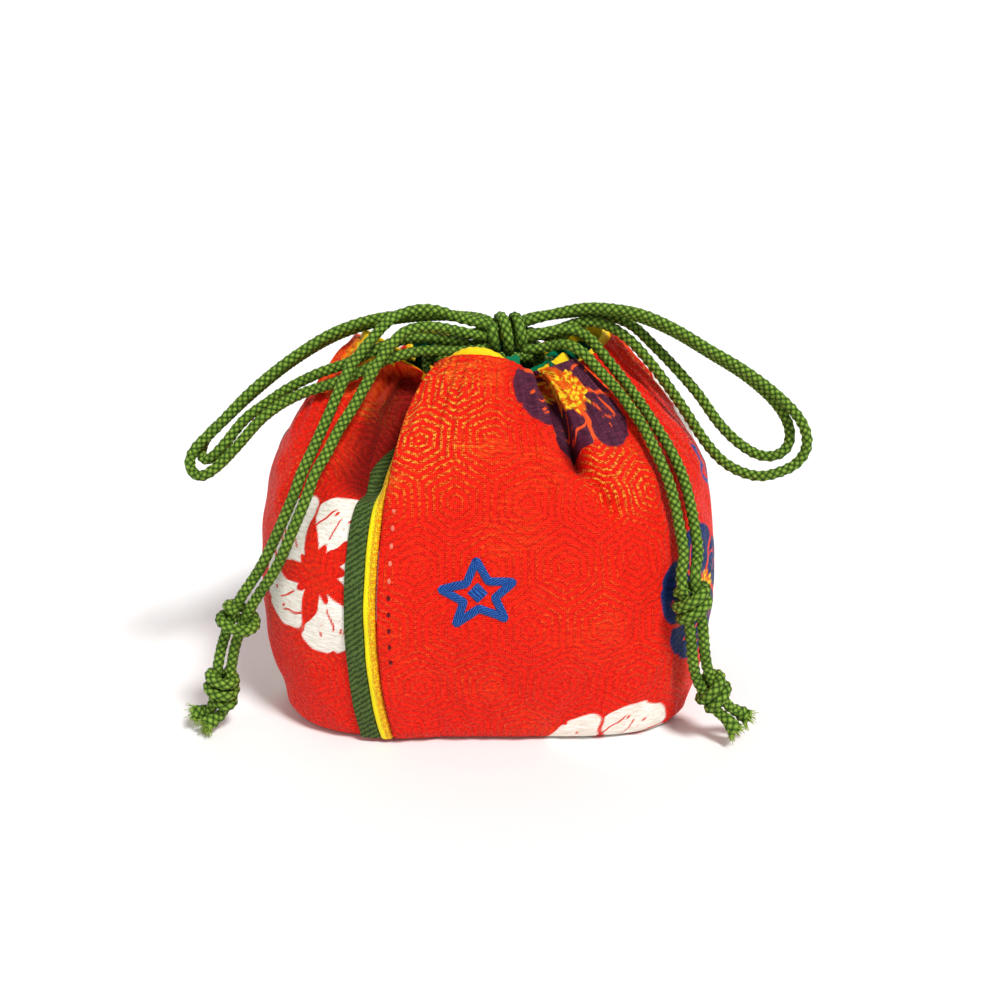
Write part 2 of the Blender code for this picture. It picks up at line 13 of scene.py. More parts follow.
import bpy
import numpy as np
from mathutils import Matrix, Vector


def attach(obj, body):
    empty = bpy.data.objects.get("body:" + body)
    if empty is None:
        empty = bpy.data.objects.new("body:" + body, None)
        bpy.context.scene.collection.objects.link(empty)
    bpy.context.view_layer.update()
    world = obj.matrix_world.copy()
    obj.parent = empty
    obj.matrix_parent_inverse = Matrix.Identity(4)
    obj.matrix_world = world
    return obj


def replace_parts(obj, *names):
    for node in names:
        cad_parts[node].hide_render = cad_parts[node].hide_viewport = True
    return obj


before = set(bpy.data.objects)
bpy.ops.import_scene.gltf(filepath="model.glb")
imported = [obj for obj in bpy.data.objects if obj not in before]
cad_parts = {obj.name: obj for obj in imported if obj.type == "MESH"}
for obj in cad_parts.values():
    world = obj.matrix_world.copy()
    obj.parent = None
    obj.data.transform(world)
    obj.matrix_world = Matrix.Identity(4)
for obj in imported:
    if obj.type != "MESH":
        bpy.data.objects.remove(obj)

LOG = logging.getLogger("pouch")
MM = 0.001
Route = tuple[tuple[float, float, float], ...]
Colour = tuple[float, float, float]


# Form of the pouch


@dataclass(frozen=True)
class PouchForm:
    """Formulas of the brocade's outer face, with the part's own sizes in millimetres and degrees."""

    base: tuple[float, float, float] = (88.0, 73.0, 4.4)
    belly: tuple[float, float, float] = (101.6, 86.0, 3.0)
    shoulder: tuple[float, float, float] = (97.0, 80.0, 2.4)
    belly_height: float = 29.0
    flare: float = 0.85
    shoulder_height: float = 53.0
    tie: tuple[float, float] = (40.0, 29.0)
    tie_height: float = 75.0
    tie_run: float = 8.0
    lobe_run: float = 5.5
    lobe_lean: float = 3.2
    roundness: float = 0.8
    low: tuple[float, ...] = (-36.0, 26.0, 72.0, 140.0, 200.0, 258.0, 324.0)
    rim: tuple[float, ...] = (-50.0, 34.0, 72.0, 140.0, 195.0, 250.0, 310.0)
    crease: tuple[float, ...] = (6.0, 3.5, 5.0, 5.5, 5.5, 5.0)
    radius: tuple[float, ...] = (19.0, 22.5, 29.0, 23.0, 26.0, 29.5)
    height: tuple[float, ...] = (80.2, 78.0, 80.6, 78.0, 78.6, 81.4)

    @property
    def lobes(self) -> int:
        """Number of lobes round the mouth."""
        return len(self.crease)

    def split(self, position: np.ndarray) -> tuple[np.ndarray, np.ndarray]:
        """Lobe index and share of positions round the body.

        Args:
            position: positions, of any size.

        Returns:
            The whole index of each lobe, and the share of its length.
        """
        within = np.mod(position, self.lobes)
        index = np.minimum(np.floor(within).astype(int), self.lobes - 1)
        return index, within - index

    @staticmethod
    def ring(azimuth: np.ndarray, width: np.ndarray, depth: np.ndarray, squareness: np.ndarray) -> np.ndarray:
        """Radius of a rounded rectangle at azimuths in radians."""
        across = np.abs(np.sin(azimuth)) / (width / 2)
        along = np.abs(np.cos(azimuth)) / (depth / 2)
        return (across ** squareness + along ** squareness) ** (-1 / squareness)

    def azimuths(self, position: np.ndarray) -> tuple[np.ndarray, np.ndarray]:
        """Azimuths in radians of positions, low on the body and at the rim."""
        index, share = self.split(position)
        turned = []
        for angles in (np.array(self.low), np.array(self.rim)):
            turned.append(np.radians(angles[index] + (angles[index + 1] - angles[index]) * share))
        return turned[0], turned[1]

    def wall(self, position: np.ndarray, level: np.ndarray) -> tuple[np.ndarray, np.ndarray, np.ndarray]:
        """Azimuth, radius and height of the wall at levels from 0 to 1."""
        azimuth, _ = self.azimuths(position)
        height = level * self.shoulder_height
        low_share = np.sin(np.pi / 2 * np.clip(height / self.belly_height, 0, 1)) ** self.flare
        rise = self.shoulder_height - self.belly_height
        high_share = np.clip((height - self.belly_height) / rise, 0, 1) ** 2
        sizes = []
        for base, belly, shoulder in zip(self.base, self.belly, self.shoulder):
            lower = base + (belly - base) * low_share
            sizes.append(np.where(height < self.belly_height, lower, belly + (shoulder - belly) * high_share))
        return azimuth, self.ring(azimuth, *sizes), height

    def outside(self, position: np.ndarray, level: np.ndarray) -> np.ndarray:
        """Points of the outer face without the lap.

        Args:
            position: positions round the body.
            level: levels, of the same size.

        Returns:
            Points in millimetres, with x, y and z as the last axis.
        """
        index, along = self.split(position)
        azimuth, radius, height = self.wall(position, np.minimum(level, 1.0))
        share = np.clip(level - 1, 0, 1)
        bulge = np.sin(np.pi * along) ** self.roundness
        _, rim_azimuth = self.azimuths(position)
        tie_radius = self.ring(rim_azimuth, self.tie[0], self.tie[1], 2.0)
        rim_radius = tie_radius + (np.array(self.radius)[index] - tie_radius) * bulge
        rim_height = self.tie_height + (np.array(self.height)[index] - self.tie_height) * bulge
        rise = rim_height - height
        pull_radius = rim_radius + self.tie_run + (self.lobe_lean - self.tie_run) * bulge
        pull_height = rim_height - self.lobe_run * bulge
        reach = bezier(radius, radius - 0.12 * rise, pull_radius, rim_radius, share)
        climb = bezier(height, height + 0.42 * rise, pull_height, rim_height, share)
        near = np.where(along < 0.5, index, (index + 1) % self.lobes)
        depth = np.array(self.crease)[near] * (1 - bulge) ** 1.4 * smooth(share * 1.6) * (1 - share ** 3)
        turned = azimuth + (rim_azimuth - azimuth) * smooth(share)
        return placed(turned, reach - depth, climb)


def smooth(share: np.ndarray) -> np.ndarray:
    """Ease shares from 0 to 1 with level ends."""
    share = np.clip(share, 0.0, 1.0)
    return share * share * (3 - 2 * share)


def bezier(p0: np.ndarray, p1: np.ndarray, p2: np.ndarray, p3: np.ndarray, share: np.ndarray) -> np.ndarray:
    """Cubic curve through p0 and p3."""
    rest = 1 - share
    return p0 * rest ** 3 + p1 * 3 * rest ** 2 * share + p2 * 3 * rest * share ** 2 + p3 * share ** 3


def placed(azimuth: np.ndarray, radius: np.ndarray, height: np.ndarray) -> np.ndarray:
    """Points at azimuths, radii and heights."""
    azimuth, radius, height = np.broadcast_arrays(azimuth, radius, height)
    return np.stack([radius * np.sin(azimuth), -radius * np.cos(azimuth), height], axis=-1)


@dataclass(frozen=True)
class Fold:
    """A soft ridge or valley pressed into the cloth along a line.

    Attributes:
        start: position and level of one end.
        end: position and level of the other end.
        width: half width in millimetres.
        depth: height in millimetres, negative for a valley.
    """

    start: tuple[float, float]
    end: tuple[float, float]
    width: float
    depth: float

    def height(self, position: np.ndarray, level: np.ndarray, lobes: int) -> np.ndarray:
        """Height that the fold gives at positions and levels.

        Args:
            position: positions round the body.
            level: levels, of the same size.
            lobes: number of lobes, after which positions repeat.

        Returns:
            Heights in millimetres.
        """
        middle = (self.start[1] + self.end[1]) / 2
        across = 46.0 * (1 - 0.42 * min(max(middle - 1, 0), 1))
        upwards = 53.0 if middle < 1 else 40.0
        around = np.mod(position - self.start[0] + lobes / 2, lobes) - lobes / 2
        x, y = around * across, (level - self.start[1]) * upwards
        end_x = (self.end[0] - self.start[0]) * across
        end_y = (self.end[1] - self.start[1]) * upwards
        length = math.hypot(end_x, end_y)
        along = (x * end_x + y * end_y) / length
        aside = (x * end_y - y * end_x) / length
        past = np.maximum(np.maximum(-along, along - length), 0)
        return self.depth * np.exp(-(aside / self.width) ** 2 - (past / (1.6 * self.width)) ** 2)


@dataclass(frozen=True)
class Drape:
    """The pouch form with its folds, puckers and the lap of the free edge."""

    form: PouchForm = PouchForm()
    seam: float = 0.13
    step: float = 0.006
    lap: float = 1.2
    lap_ramp: float = 0.22
    lap_top: float = 1.79
    lap_fade: float = 0.4
    pucker: float = 0.16
    folds: tuple[Fold, ...] = (
        Fold((0.01, 1.16), (0.01, 1.88), 2.7, -4.6),
        Fold((-0.09, 1.22), (-0.07, 1.84), 4.6, -4.4),
        Fold((0.17, 1.02), (0.18, 1.75), 2.4, 1.3),
        Fold((0.92, 1.20), (0.91, 1.84), 2.4, 1.5),
        Fold((1.04, 1.30), (1.01, 1.88), 1.9, -3.6),
        Fold((1.17, 1.02), (1.05, 1.34), 2.0, -2.2),
        Fold((1.27, 1.10), (1.16, 1.5), 2.8, 1.0),
        Fold((1.62, 0.92), (1.55, 1.7), 2.6, -0.8),
        Fold((0.66, 1.02), (1.2, 0.9), 3.0, 0.45),
        Fold((0.3, 1.06), (0.62, 1.3), 2.6, -0.35),
        Fold((0.42, 1.3), (0.5, 1.86), 3.0, 0.4),
        Fold((2.3, 1.0), (2.2, 1.7), 3.0, -0.9),
        Fold((2.6, 0.9), (2.66, 1.7), 3.2, 0.7),
        Fold((2.82, 1.05), (2.8, 1.7), 2.4, -0.7),
        Fold((3.3, 1.0), (3.4, 1.8), 3.0, -0.9),
        Fold((3.6, 0.95), (3.6, 1.7), 3.2, 0.6),
        Fold((3.85, 1.1), (3.8, 1.7), 2.4, -0.6),
        Fold((4.35, 1.0), (4.3, 1.75), 2.8, -0.9),
        Fold((4.6, 0.95), (4.66, 1.7), 3.4, 0.6),
        Fold((5.25, 0.95), (5.3, 1.75), 2.8, -1.0),
        Fold((5.55, 1.0), (5.5, 1.8), 3.0, 0.7),
        Fold((5.78, 0.92), (5.7, 1.7), 2.4, -0.9),
        Fold((5.55, 0.1), (5.9, 0.35), 3.0, -0.7),
        Fold((5.62, 0.02), (5.6, 0.5), 3.4, 0.5),
        Fold((0.9, 0.05), (1.1, 0.3), 4.0, -0.5),
        Fold((0.4, 0.55), (0.8, 0.5), 7.0, 0.4),
        Fold((1.2, 0.2), (1.5, 0.5), 5.0, 0.4),
    )

    def relief(self, position: np.ndarray, level: np.ndarray) -> np.ndarray:
        """Height of the folds and puckers over the plain form, in millimetres."""
        total = np.zeros(np.broadcast(position, level).shape)
        for fold in self.folds:
            total = total + fold.height(position, level, self.form.lobes)
        turn = 2 * np.pi / self.form.lobes
        chosen = np.random.default_rng(11)
        for _ in range(26):
            waves = chosen.integers(14, 62)
            climb = chosen.uniform(-34.0, 34.0)
            phase = chosen.uniform(0, 2 * np.pi)
            total = total + 0.21 * self.pucker * np.sin(turn * waves * position + climb * level + phase)
        gathered = 0.35 * smooth((level - 1.15) / 0.5)
        total = total + gathered * np.sin(turn * 84 * position + 1.7 * np.sin(5.0 * level + 2.1 * position))
        return total * smooth(level / 0.08) * (1 - 0.75 * smooth((level - 1.86) / 0.14))

    def surface(self, position: np.ndarray, level: np.ndarray, offset: float | np.ndarray = 0.0) -> np.ndarray:
        """Points of the draped cloth's outer face, moved out by an offset.

        Args:
            position: positions round the body.
            level: levels, of the same size.
            offset: distance outwards in millimetres, without the lap.

        Returns:
            Points in millimetres, with x, y and z as the last axis.
        """
        position, level = np.broadcast_arrays(position, level)
        reach = 0.02
        lower, upper = np.maximum(0.02, level - reach), np.minimum(2.0, level + reach)
        along = self.form.outside(position + reach, level) - self.form.outside(position - reach, level)
        up = self.form.outside(position, upper) - self.form.outside(position, lower)
        normal = np.cross(along, up)
        normal /= np.linalg.norm(normal, axis=-1, keepdims=True)
        height = self.relief(position, level) + offset
        return self.form.outside(position, level) + normal * height[..., None]

    def lapped(self, position: np.ndarray, level: np.ndarray) -> np.ndarray:
        """Rise of the lapped brocade over the panel below it, in millimetres."""
        index, share = self.form.split(position)
        fade = smooth((self.lap_top - level) / self.lap_fade)
        ramp = 1 - smooth((share - self.seam) / self.lap_ramp)
        return np.where((index == 0) & (share >= self.seam), self.lap * fade * ramp, 0.0)

    def pace(self, position: float, level: np.ndarray) -> np.ndarray:
        """Millimetres of cloth to one unit of position."""
        step = 0.02
        ahead = self.form.outside(np.full_like(level, position - step), level)
        here = self.form.outside(np.full_like(level, position), level)
        return np.linalg.norm(ahead - here, axis=-1) / step


# Mesh helpers


def new_piece(name: str, points: np.ndarray, faces: np.ndarray, maps: dict[str, np.ndarray]) -> bpy.types.Object:
    """A shown object with its own UV maps.

    Args:
        name: name of the object.
        points: vertices in millimetres.
        faces: vertex numbers of quads, one row each.
        maps: UV maps by name, two numbers for each corner of each face.

    Returns:
        The object, linked to the scene and riding on the root body.
    """
    mesh = bpy.data.meshes.new(name)
    mesh.from_pydata((points * MM).tolist(), [], faces.tolist())
    for label, corners in maps.items():
        layer = mesh.uv_layers.new(name=label)
        layer.data.foreach_set("uv", np.ascontiguousarray(corners, dtype=np.float32).ravel())
    mesh.shade_smooth()
    piece = bpy.data.objects.new(name, mesh)
    bpy.context.scene.collection.objects.link(piece)
    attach(piece, "root")
    return piece


def grid_faces(rows: int, columns: int, closed: bool) -> np.ndarray:
    """Vertex numbers of the quads of a grid, which face out where columns run to the right and rows up."""
    across = np.arange(columns if closed else columns - 1)
    low = np.arange(rows - 1)[:, None] * columns
    after = (across + 1) % columns
    quads = np.stack([low + across, low + after, low + columns + after, low + columns + across], axis=-1)
    return quads.reshape(-1, 4)


def grid_corners(values: np.ndarray, after: np.ndarray) -> np.ndarray:
    """UV corners of a grid's quads.

    Args:
        values: UV of each vertex as the left end of the quads to its right, rows by quads by 2.
        after: UV at the right end of each of those quads, of the same size.

    Returns:
        Two numbers for each corner, in the order of grid_faces.
    """
    return np.stack([values[:-1], after[:-1], after[1:], values[1:]], axis=2).reshape(-1, 2)


def spread_map(rows: int, columns: int, closed: bool, bands: int = 1) -> np.ndarray:
    """Bake map of a grid that fills the unit square in side-by-side bands of rows.

    Args:
        rows: number of rows of vertices.
        columns: number of columns of vertices.
        closed: whether the last column joins the first.
        bands: number of bands that the rows are cut into.

    Returns:
        Two numbers for each corner, in the order of grid_faces.
    """
    wide = columns if closed else columns - 1
    tall = rows - 1
    per_band = math.ceil(tall / bands)
    row, column = np.divmod(np.arange(tall * wide), wide)
    band, within = np.divmod(row, per_band)
    margin = 0.01
    corners = []
    for right, up in ((0, 0), (1, 0), (1, 1), (0, 1)):
        u = margin + (1 - 2 * margin) * (column + right) / wide
        v = margin + (1 - 2 * margin) * (within + up) / per_band
        corners.append(np.stack([(band + u) / bands, v], axis=-1))
    return np.stack(corners, axis=1).reshape(-1, 2)


def reach_along(line: np.ndarray) -> np.ndarray:
    """Distance of each point of a line from its first one, measured along it."""
    return np.concatenate([[0.0], np.cumsum(np.linalg.norm(np.diff(line, axis=0), axis=1))])


def smoothed_route(points: np.ndarray, spacing: float, ease: float = 1.6) -> np.ndarray:
    """One smooth curve through a given route.

    Args:
        points: route in millimetres.
        spacing: distance between the points given back, in millimetres.
        ease: length in millimetres over which small kinks are evened out.

    Returns:
        Evenly spaced points from the first to the last point of the route.
    """
    padded = np.vstack([2 * points[0] - points[1], points, 2 * points[-1] - points[-2]])
    share = np.linspace(0, 1, 24, endpoint=False)[:, None]
    pieces = []
    for before, start, end, after in zip(padded, padded[1:], padded[2:], padded[3:]):
        lean = before * 2 - start * 5 + end * 4 - after
        twist = start * 3 - before - end * 3 + after
        pieces.append(start + ((end - before) * share + lean * share ** 2 + twist * share ** 3) * 0.5)
    dense = np.vstack([*pieces, points[-1:]])
    reach = reach_along(dense)
    count = max(4, round(reach[-1] / spacing))
    even = np.linspace(0, reach[-1], count + 1)
    line = np.stack([np.interp(even, reach, dense[:, axis]) for axis in range(3)], axis=1)
    half = max(1, round(2 * ease / spacing))
    weights = np.exp(-(np.arange(-half, half + 1) * spacing / ease) ** 2 / 2)
    weights /= weights.sum()
    before = 2 * line[0] - line[half:0:-1]
    after = 2 * line[-1] - line[-2:-half - 2:-1]
    long = np.vstack([before, line, after])
    return np.stack([np.convolve(long[:, axis], weights, mode="valid") for axis in range(3)], axis=1)


def turned_frames(line: np.ndarray) -> tuple[np.ndarray, np.ndarray]:
    """Two directions square to a curve at each of its points, without twist along it."""
    ahead = np.gradient(line, axis=0)
    ahead /= np.linalg.norm(ahead, axis=1, keepdims=True)
    side = np.cross(ahead[0], (0.0, 0.0, 1.0))
    if np.linalg.norm(side) < 0.2:
        side = np.cross(ahead[0], (0.0, 1.0, 0.0))
    sides = []
    for direction in ahead:
        side = side - direction * (side @ direction)
        side = side / np.linalg.norm(side)
        sides.append(side)
    sides = np.array(sides)
    return sides, np.cross(ahead, sides)


@dataclass(frozen=True)
class Braid:
    """Round braid of eight strands: every strand passes over one and under the next."""

    diameter: float = 2.5
    strands: int = 4
    lay: float = 1.95
    relief: float = 0.32
    sides: int = 24
    ring: float = 0.27

    def height(self, around: np.ndarray, along: np.ndarray) -> np.ndarray:
        """Height of the strands, from 0 in their gaps to 1 on their crowns.

        Args:
            around: turns round the cord.
            along: distance along the cord in millimetres.

        Returns:
            Heights, of the size that the two arguments give together.
        """
        one = around * self.strands + along / self.lay
        two = around * self.strands - along / self.lay
        over = (np.floor(one) + np.floor(two)) % 2 < 0.5
        across = np.where(over, one, two) % 1.0
        length = np.where(over, two, one) % 1.0
        return np.sin(np.pi * across) ** 0.8 * (0.32 + 0.68 * np.sin(np.pi * length))

    def tube(self, line: np.ndarray, swell: np.ndarray | None = None) -> tuple[np.ndarray, np.ndarray, dict]:
        """Vertices, quads and UV maps of a closed tube of braid along a line.

        Args:
            line: evenly spaced points in millimetres.
            swell: size of the cord at each point, beside its usual size.

        Returns:
            Vertices in millimetres, quads and the maps "cloth" and "OFBake".
        """
        sides, ups = turned_frames(line)
        reach = reach_along(line)
        around = np.arange(self.sides) / self.sides
        bump = self.height(around[None, :], reach[:, None])
        radius = self.diameter / 2 - self.relief * (1 - bump)
        if swell is not None:
            radius = radius * swell[:, None]
        turn = 2 * np.pi * around
        rings = line[:, None, :] + radius[..., None] * (
            np.cos(turn)[None, :, None] * sides[:, None, :] + np.sin(turn)[None, :, None] * ups[:, None, :])
        rings = np.concatenate([np.repeat(line[:1, None], self.sides, 1), rings,
                                np.repeat(line[-1:, None], self.sides, 1)])
        count = len(rings)
        reach = np.concatenate([reach[:1], reach, reach[-1:]])
        left = np.stack(np.broadcast_arrays(around[None, :], reach[:, None]), axis=-1)
        right = np.stack(np.broadcast_arrays(around[None, :] + 1 / self.sides, reach[:, None]), axis=-1)
        bands = max(1, round(math.sqrt(reach[-1] / (math.pi * self.diameter))))
        maps = {"cloth": grid_corners(left, right), "OFBake": spread_map(count, self.sides, True, bands)}
        return rings.reshape(-1, 3), grid_faces(count, self.sides, True), maps


# Finishes


class Wires:
    """Short calls for wiring the nodes of one material or group."""

    def __init__(self, tree: bpy.types.NodeTree) -> None:
        """Keeps the tree that the calls add nodes to."""
        self.tree = tree

    def node(self, kind: str, **settings: object) -> bpy.types.Node:
        """A new node with its settings."""
        made = self.tree.nodes.new(kind)
        for name, value in settings.items():
            setattr(made, name, value)
        return made

    def put(self, value: object, socket: bpy.types.NodeSocket) -> None:
        """Links an output to a socket, or sets the socket to a constant."""
        if isinstance(value, bpy.types.NodeSocket):
            self.tree.links.new(value, socket)
        elif value is not None:
            socket.default_value = value

    def math(self, operation: str, one: object, two: object = None, three: object = None,
             clamp: bool = False) -> bpy.types.NodeSocket:
        """Output of a Math node."""
        made = self.node("ShaderNodeMath", operation=operation, use_clamp=clamp)
        for value, socket in zip((one, two, three), made.inputs):
            self.put(value, socket)
        return made.outputs[0]

    def vector(self, operation: str, one: object, two: object = None, number: bool = False) -> bpy.types.NodeSocket:
        """Output of a Vector Math node: its number if that is asked for, otherwise its vector."""
        made = self.node("ShaderNodeVectorMath", operation=operation)
        self.put(one, made.inputs[0])
        self.put(two, made.inputs[1])
        return made.outputs[1 if number else 0]

    def ramp(self, value: object, low: float, high: float, start: float = 0.0, end: float = 1.0,
             ) -> bpy.types.NodeSocket:
        """A value mapped smoothly from low..high to start..end."""
        made = self.node("ShaderNodeMapRange", interpolation_type="SMOOTHSTEP")
        for number, socket in zip((value, low, high, start, end), made.inputs):
            self.put(number, socket)
        return made.outputs[0]

    def mix(self, share: object, one: object, two: object, blend: str = "MIX") -> bpy.types.NodeSocket:
        """Colour mixed from two by a share."""
        made = self.node("ShaderNodeMix", data_type="RGBA", blend_type=blend)
        self.put(share, made.inputs[0])
        self.put(one, made.inputs[6])
        self.put(two, made.inputs[7])
        return made.outputs[2]

    def choose(self, share: object, one: object, two: object) -> bpy.types.NodeSocket:
        """Vector mixed from two by a share."""
        made = self.node("ShaderNodeMix", data_type="VECTOR")
        self.put(share, made.inputs[0])
        self.put(one, made.inputs[4])
        self.put(two, made.inputs[5])
        return made.outputs[1]

    def noise(self, place: object, scale: float, detail: float = 2.0, rough: float = 0.5) -> bpy.types.NodeSocket:
        """Value of a Noise Texture."""
        made = self.node("ShaderNodeTexNoise")
        self.put(place, made.inputs["Vector"])
        made.inputs["Scale"].default_value = scale
        made.inputs["Detail"].default_value = detail
        made.inputs["Roughness"].default_value = rough
        return made.outputs[0]

    def split(self, place: object) -> list[bpy.types.NodeSocket]:
        """X, Y and Z of a vector."""
        made = self.node("ShaderNodeSeparateXYZ")
        self.put(place, made.inputs[0])
        return list(made.outputs)

    def join(self, x: object = 0.0, y: object = 0.0, z: object = 0.0) -> bpy.types.NodeSocket:
        """Vector from three numbers."""
        made = self.node("ShaderNodeCombineXYZ")
        for value, socket in zip((x, y, z), made.inputs):
            self.put(value, socket)
        return made.outputs[0]


def linear(colour: Colour) -> tuple[float, float, float, float]:
    """Linear colour for a socket from 0 to 255 screen values."""
    parts = [(value / 255 / 12.92) if value <= 10 else ((value / 255 + 0.055) / 1.055) ** 2.4 for value in colour]
    return (*parts, 1.0)


class Sheen(Enum):
    """How softly a cloth throws light back at its edges."""

    NONE = 0.0
    COTTON = 0.02
    SILK = 0.10


def new_material(name: str, roughness: float, sheen: Sheen = Sheen.NONE,
                 ) -> tuple[bpy.types.Material, Wires, bpy.types.Node]:
    """A material with its Principled shader, and short calls for its tree."""
    material = bpy.data.materials.new(name)
    material.use_nodes = True
    shader = material.node_tree.nodes["Principled BSDF"]
    shader.inputs["Roughness"].default_value = roughness
    shader.inputs["Sheen Weight"].default_value = sheen.value
    shader.inputs["Sheen Roughness"].default_value = 0.4
    shader.inputs["Specular IOR Level"].default_value = 0.14
    return material, Wires(material.node_tree), shader


def cloth_map(wires: Wires) -> bpy.types.NodeSocket:
    """The cloth's own coordinates in millimetres: along the weft, and up the warp."""
    return wires.node("ShaderNodeUVMap", uv_map="cloth").outputs[0]


def bump(wires: Wires, shader: bpy.types.Node, height: bpy.types.NodeSocket, depth: float,
         strength: object = 1.0) -> None:
    """Feeds a height, with its depth in millimetres, to the shader's normal."""
    made = wires.node("ShaderNodeBump")
    wires.put(strength, made.inputs["Strength"])
    made.inputs["Distance"].default_value = depth * MM
    wires.put(height, made.inputs["Height"])
    wires.put(made.outputs[0], shader.inputs["Normal"])


class Effect:
    """A shader node group that several finishes share, built once."""

    def __init__(self, name: str, inputs: dict[str, float | None], outputs: tuple[str, ...]) -> None:
        """Makes the group's sockets.

        Args:
            name: name of the group.
            inputs: numbers by socket name, or None for a vector.
            outputs: names of the values that it puts out.
        """
        self.tree = bpy.data.node_groups.new(name, "ShaderNodeTree")
        for label, value in inputs.items():
            kind = "NodeSocketVector" if value is None else "NodeSocketFloat"
            socket = self.tree.interface.new_socket(name=label, in_out="INPUT", socket_type=kind)
            if value is not None:
                socket.default_value = value
        for label in outputs:
            self.tree.interface.new_socket(name=label, in_out="OUTPUT", socket_type="NodeSocketFloat")
        self.wires = Wires(self.tree)
        self.given = self.wires.node("NodeGroupInput").outputs
        self.result = self.wires.node("NodeGroupOutput").inputs

    def place(self, wires: Wires, **values: object) -> bpy.types.bpy_prop_collection:
        """Puts the group in a material with its own values.

        Args:
            wires: the material's tree.
            values: sockets or numbers by input name.

        Returns:
            The group's outputs.
        """
        made = wires.node("ShaderNodeGroup", node_tree=self.tree)
        for label, value in values.items():
            wires.put(value, made.inputs[label])
        return made.outputs


def crossed_weave() -> Effect:
    """Plain weave: warp and weft threads that pass over each other by turns."""
    effect = Effect("crossed_weave", {"Vector": None, "Pitch": 0.45, "Unevenness": 0.3}, ("Height", "Weft"))
    wires, given = effect.wires, effect.given
    wander = wires.math("MULTIPLY", wires.noise(given["Vector"], 0.35), given["Unevenness"])
    x, y, _ = wires.split(given["Vector"])
    across = wires.math("ADD", wires.math("DIVIDE", x, given["Pitch"]), wander)
    upwards = wires.math("ADD", wires.math("DIVIDE", y, given["Pitch"]), wander)
    cells = wires.math("ADD", wires.math("FLOOR", across), wires.math("FLOOR", upwards))
    turn = wires.math("MULTIPLY", wires.math("FRACT", wires.math("MULTIPLY", cells, 0.5)), 2.0)
    warp = wires.math("SINE", wires.math("MULTIPLY", wires.math("FRACT", across), math.pi))
    weft = wires.math("SINE", wires.math("MULTIPLY", wires.math("FRACT", upwards), math.pi))
    share = wires.math("MULTIPLY", weft, turn)
    rest = wires.math("MULTIPLY", warp, wires.math("SUBTRACT", 1.0, turn))
    wires.put(wires.math("ADD", share, rest), effect.result["Height"])
    wires.put(turn, effect.result["Weft"])
    return effect


def tortoiseshell() -> Effect:
    """Six-sided cells, each with lines one inside the other."""
    effect = Effect("tortoiseshell", {"Vector": None, "Cell": 15.0, "Rings": 5.0}, ("Line", "Reach"))
    wires, given = effect.wires, effect.given
    scale = wires.vector("DIVIDE", given["Vector"], wires.join(given["Cell"], given["Cell"], 1.0))
    size = (1.0, math.sqrt(3.0), 1.0)
    halves = []
    for shift in ((0.0, 0.0, 0.0), (0.5, math.sqrt(3.0) / 2, 0.0)):
        moved = wires.vector("DIVIDE", wires.vector("SUBTRACT", scale, shift), size)
        folded = wires.vector("SUBTRACT", wires.vector("FRACTION", moved), (0.5, 0.5, 0.0))
        halves.append(wires.vector("MULTIPLY", folded, (1.0, math.sqrt(3.0), 0.0)))
    reaches = []
    for half in halves:
        whole = wires.vector("ABSOLUTE", half)
        slope = wires.vector("DOT_PRODUCT", whole, (0.5, math.sqrt(3.0) / 2, 0.0), number=True)
        reaches.append(wires.math("MAXIMUM", slope, wires.split(whole)[0]))
    reach = wires.math("MULTIPLY", wires.math("MINIMUM", *reaches), 2.0)
    wave = wires.math("COSINE", wires.math("MULTIPLY", wires.math("MULTIPLY", reach, given["Rings"]), 2 * math.pi))
    wires.put(wires.ramp(wave, -0.3, 0.8), effect.result["Line"])
    wires.put(reach, effect.result["Reach"])
    return effect


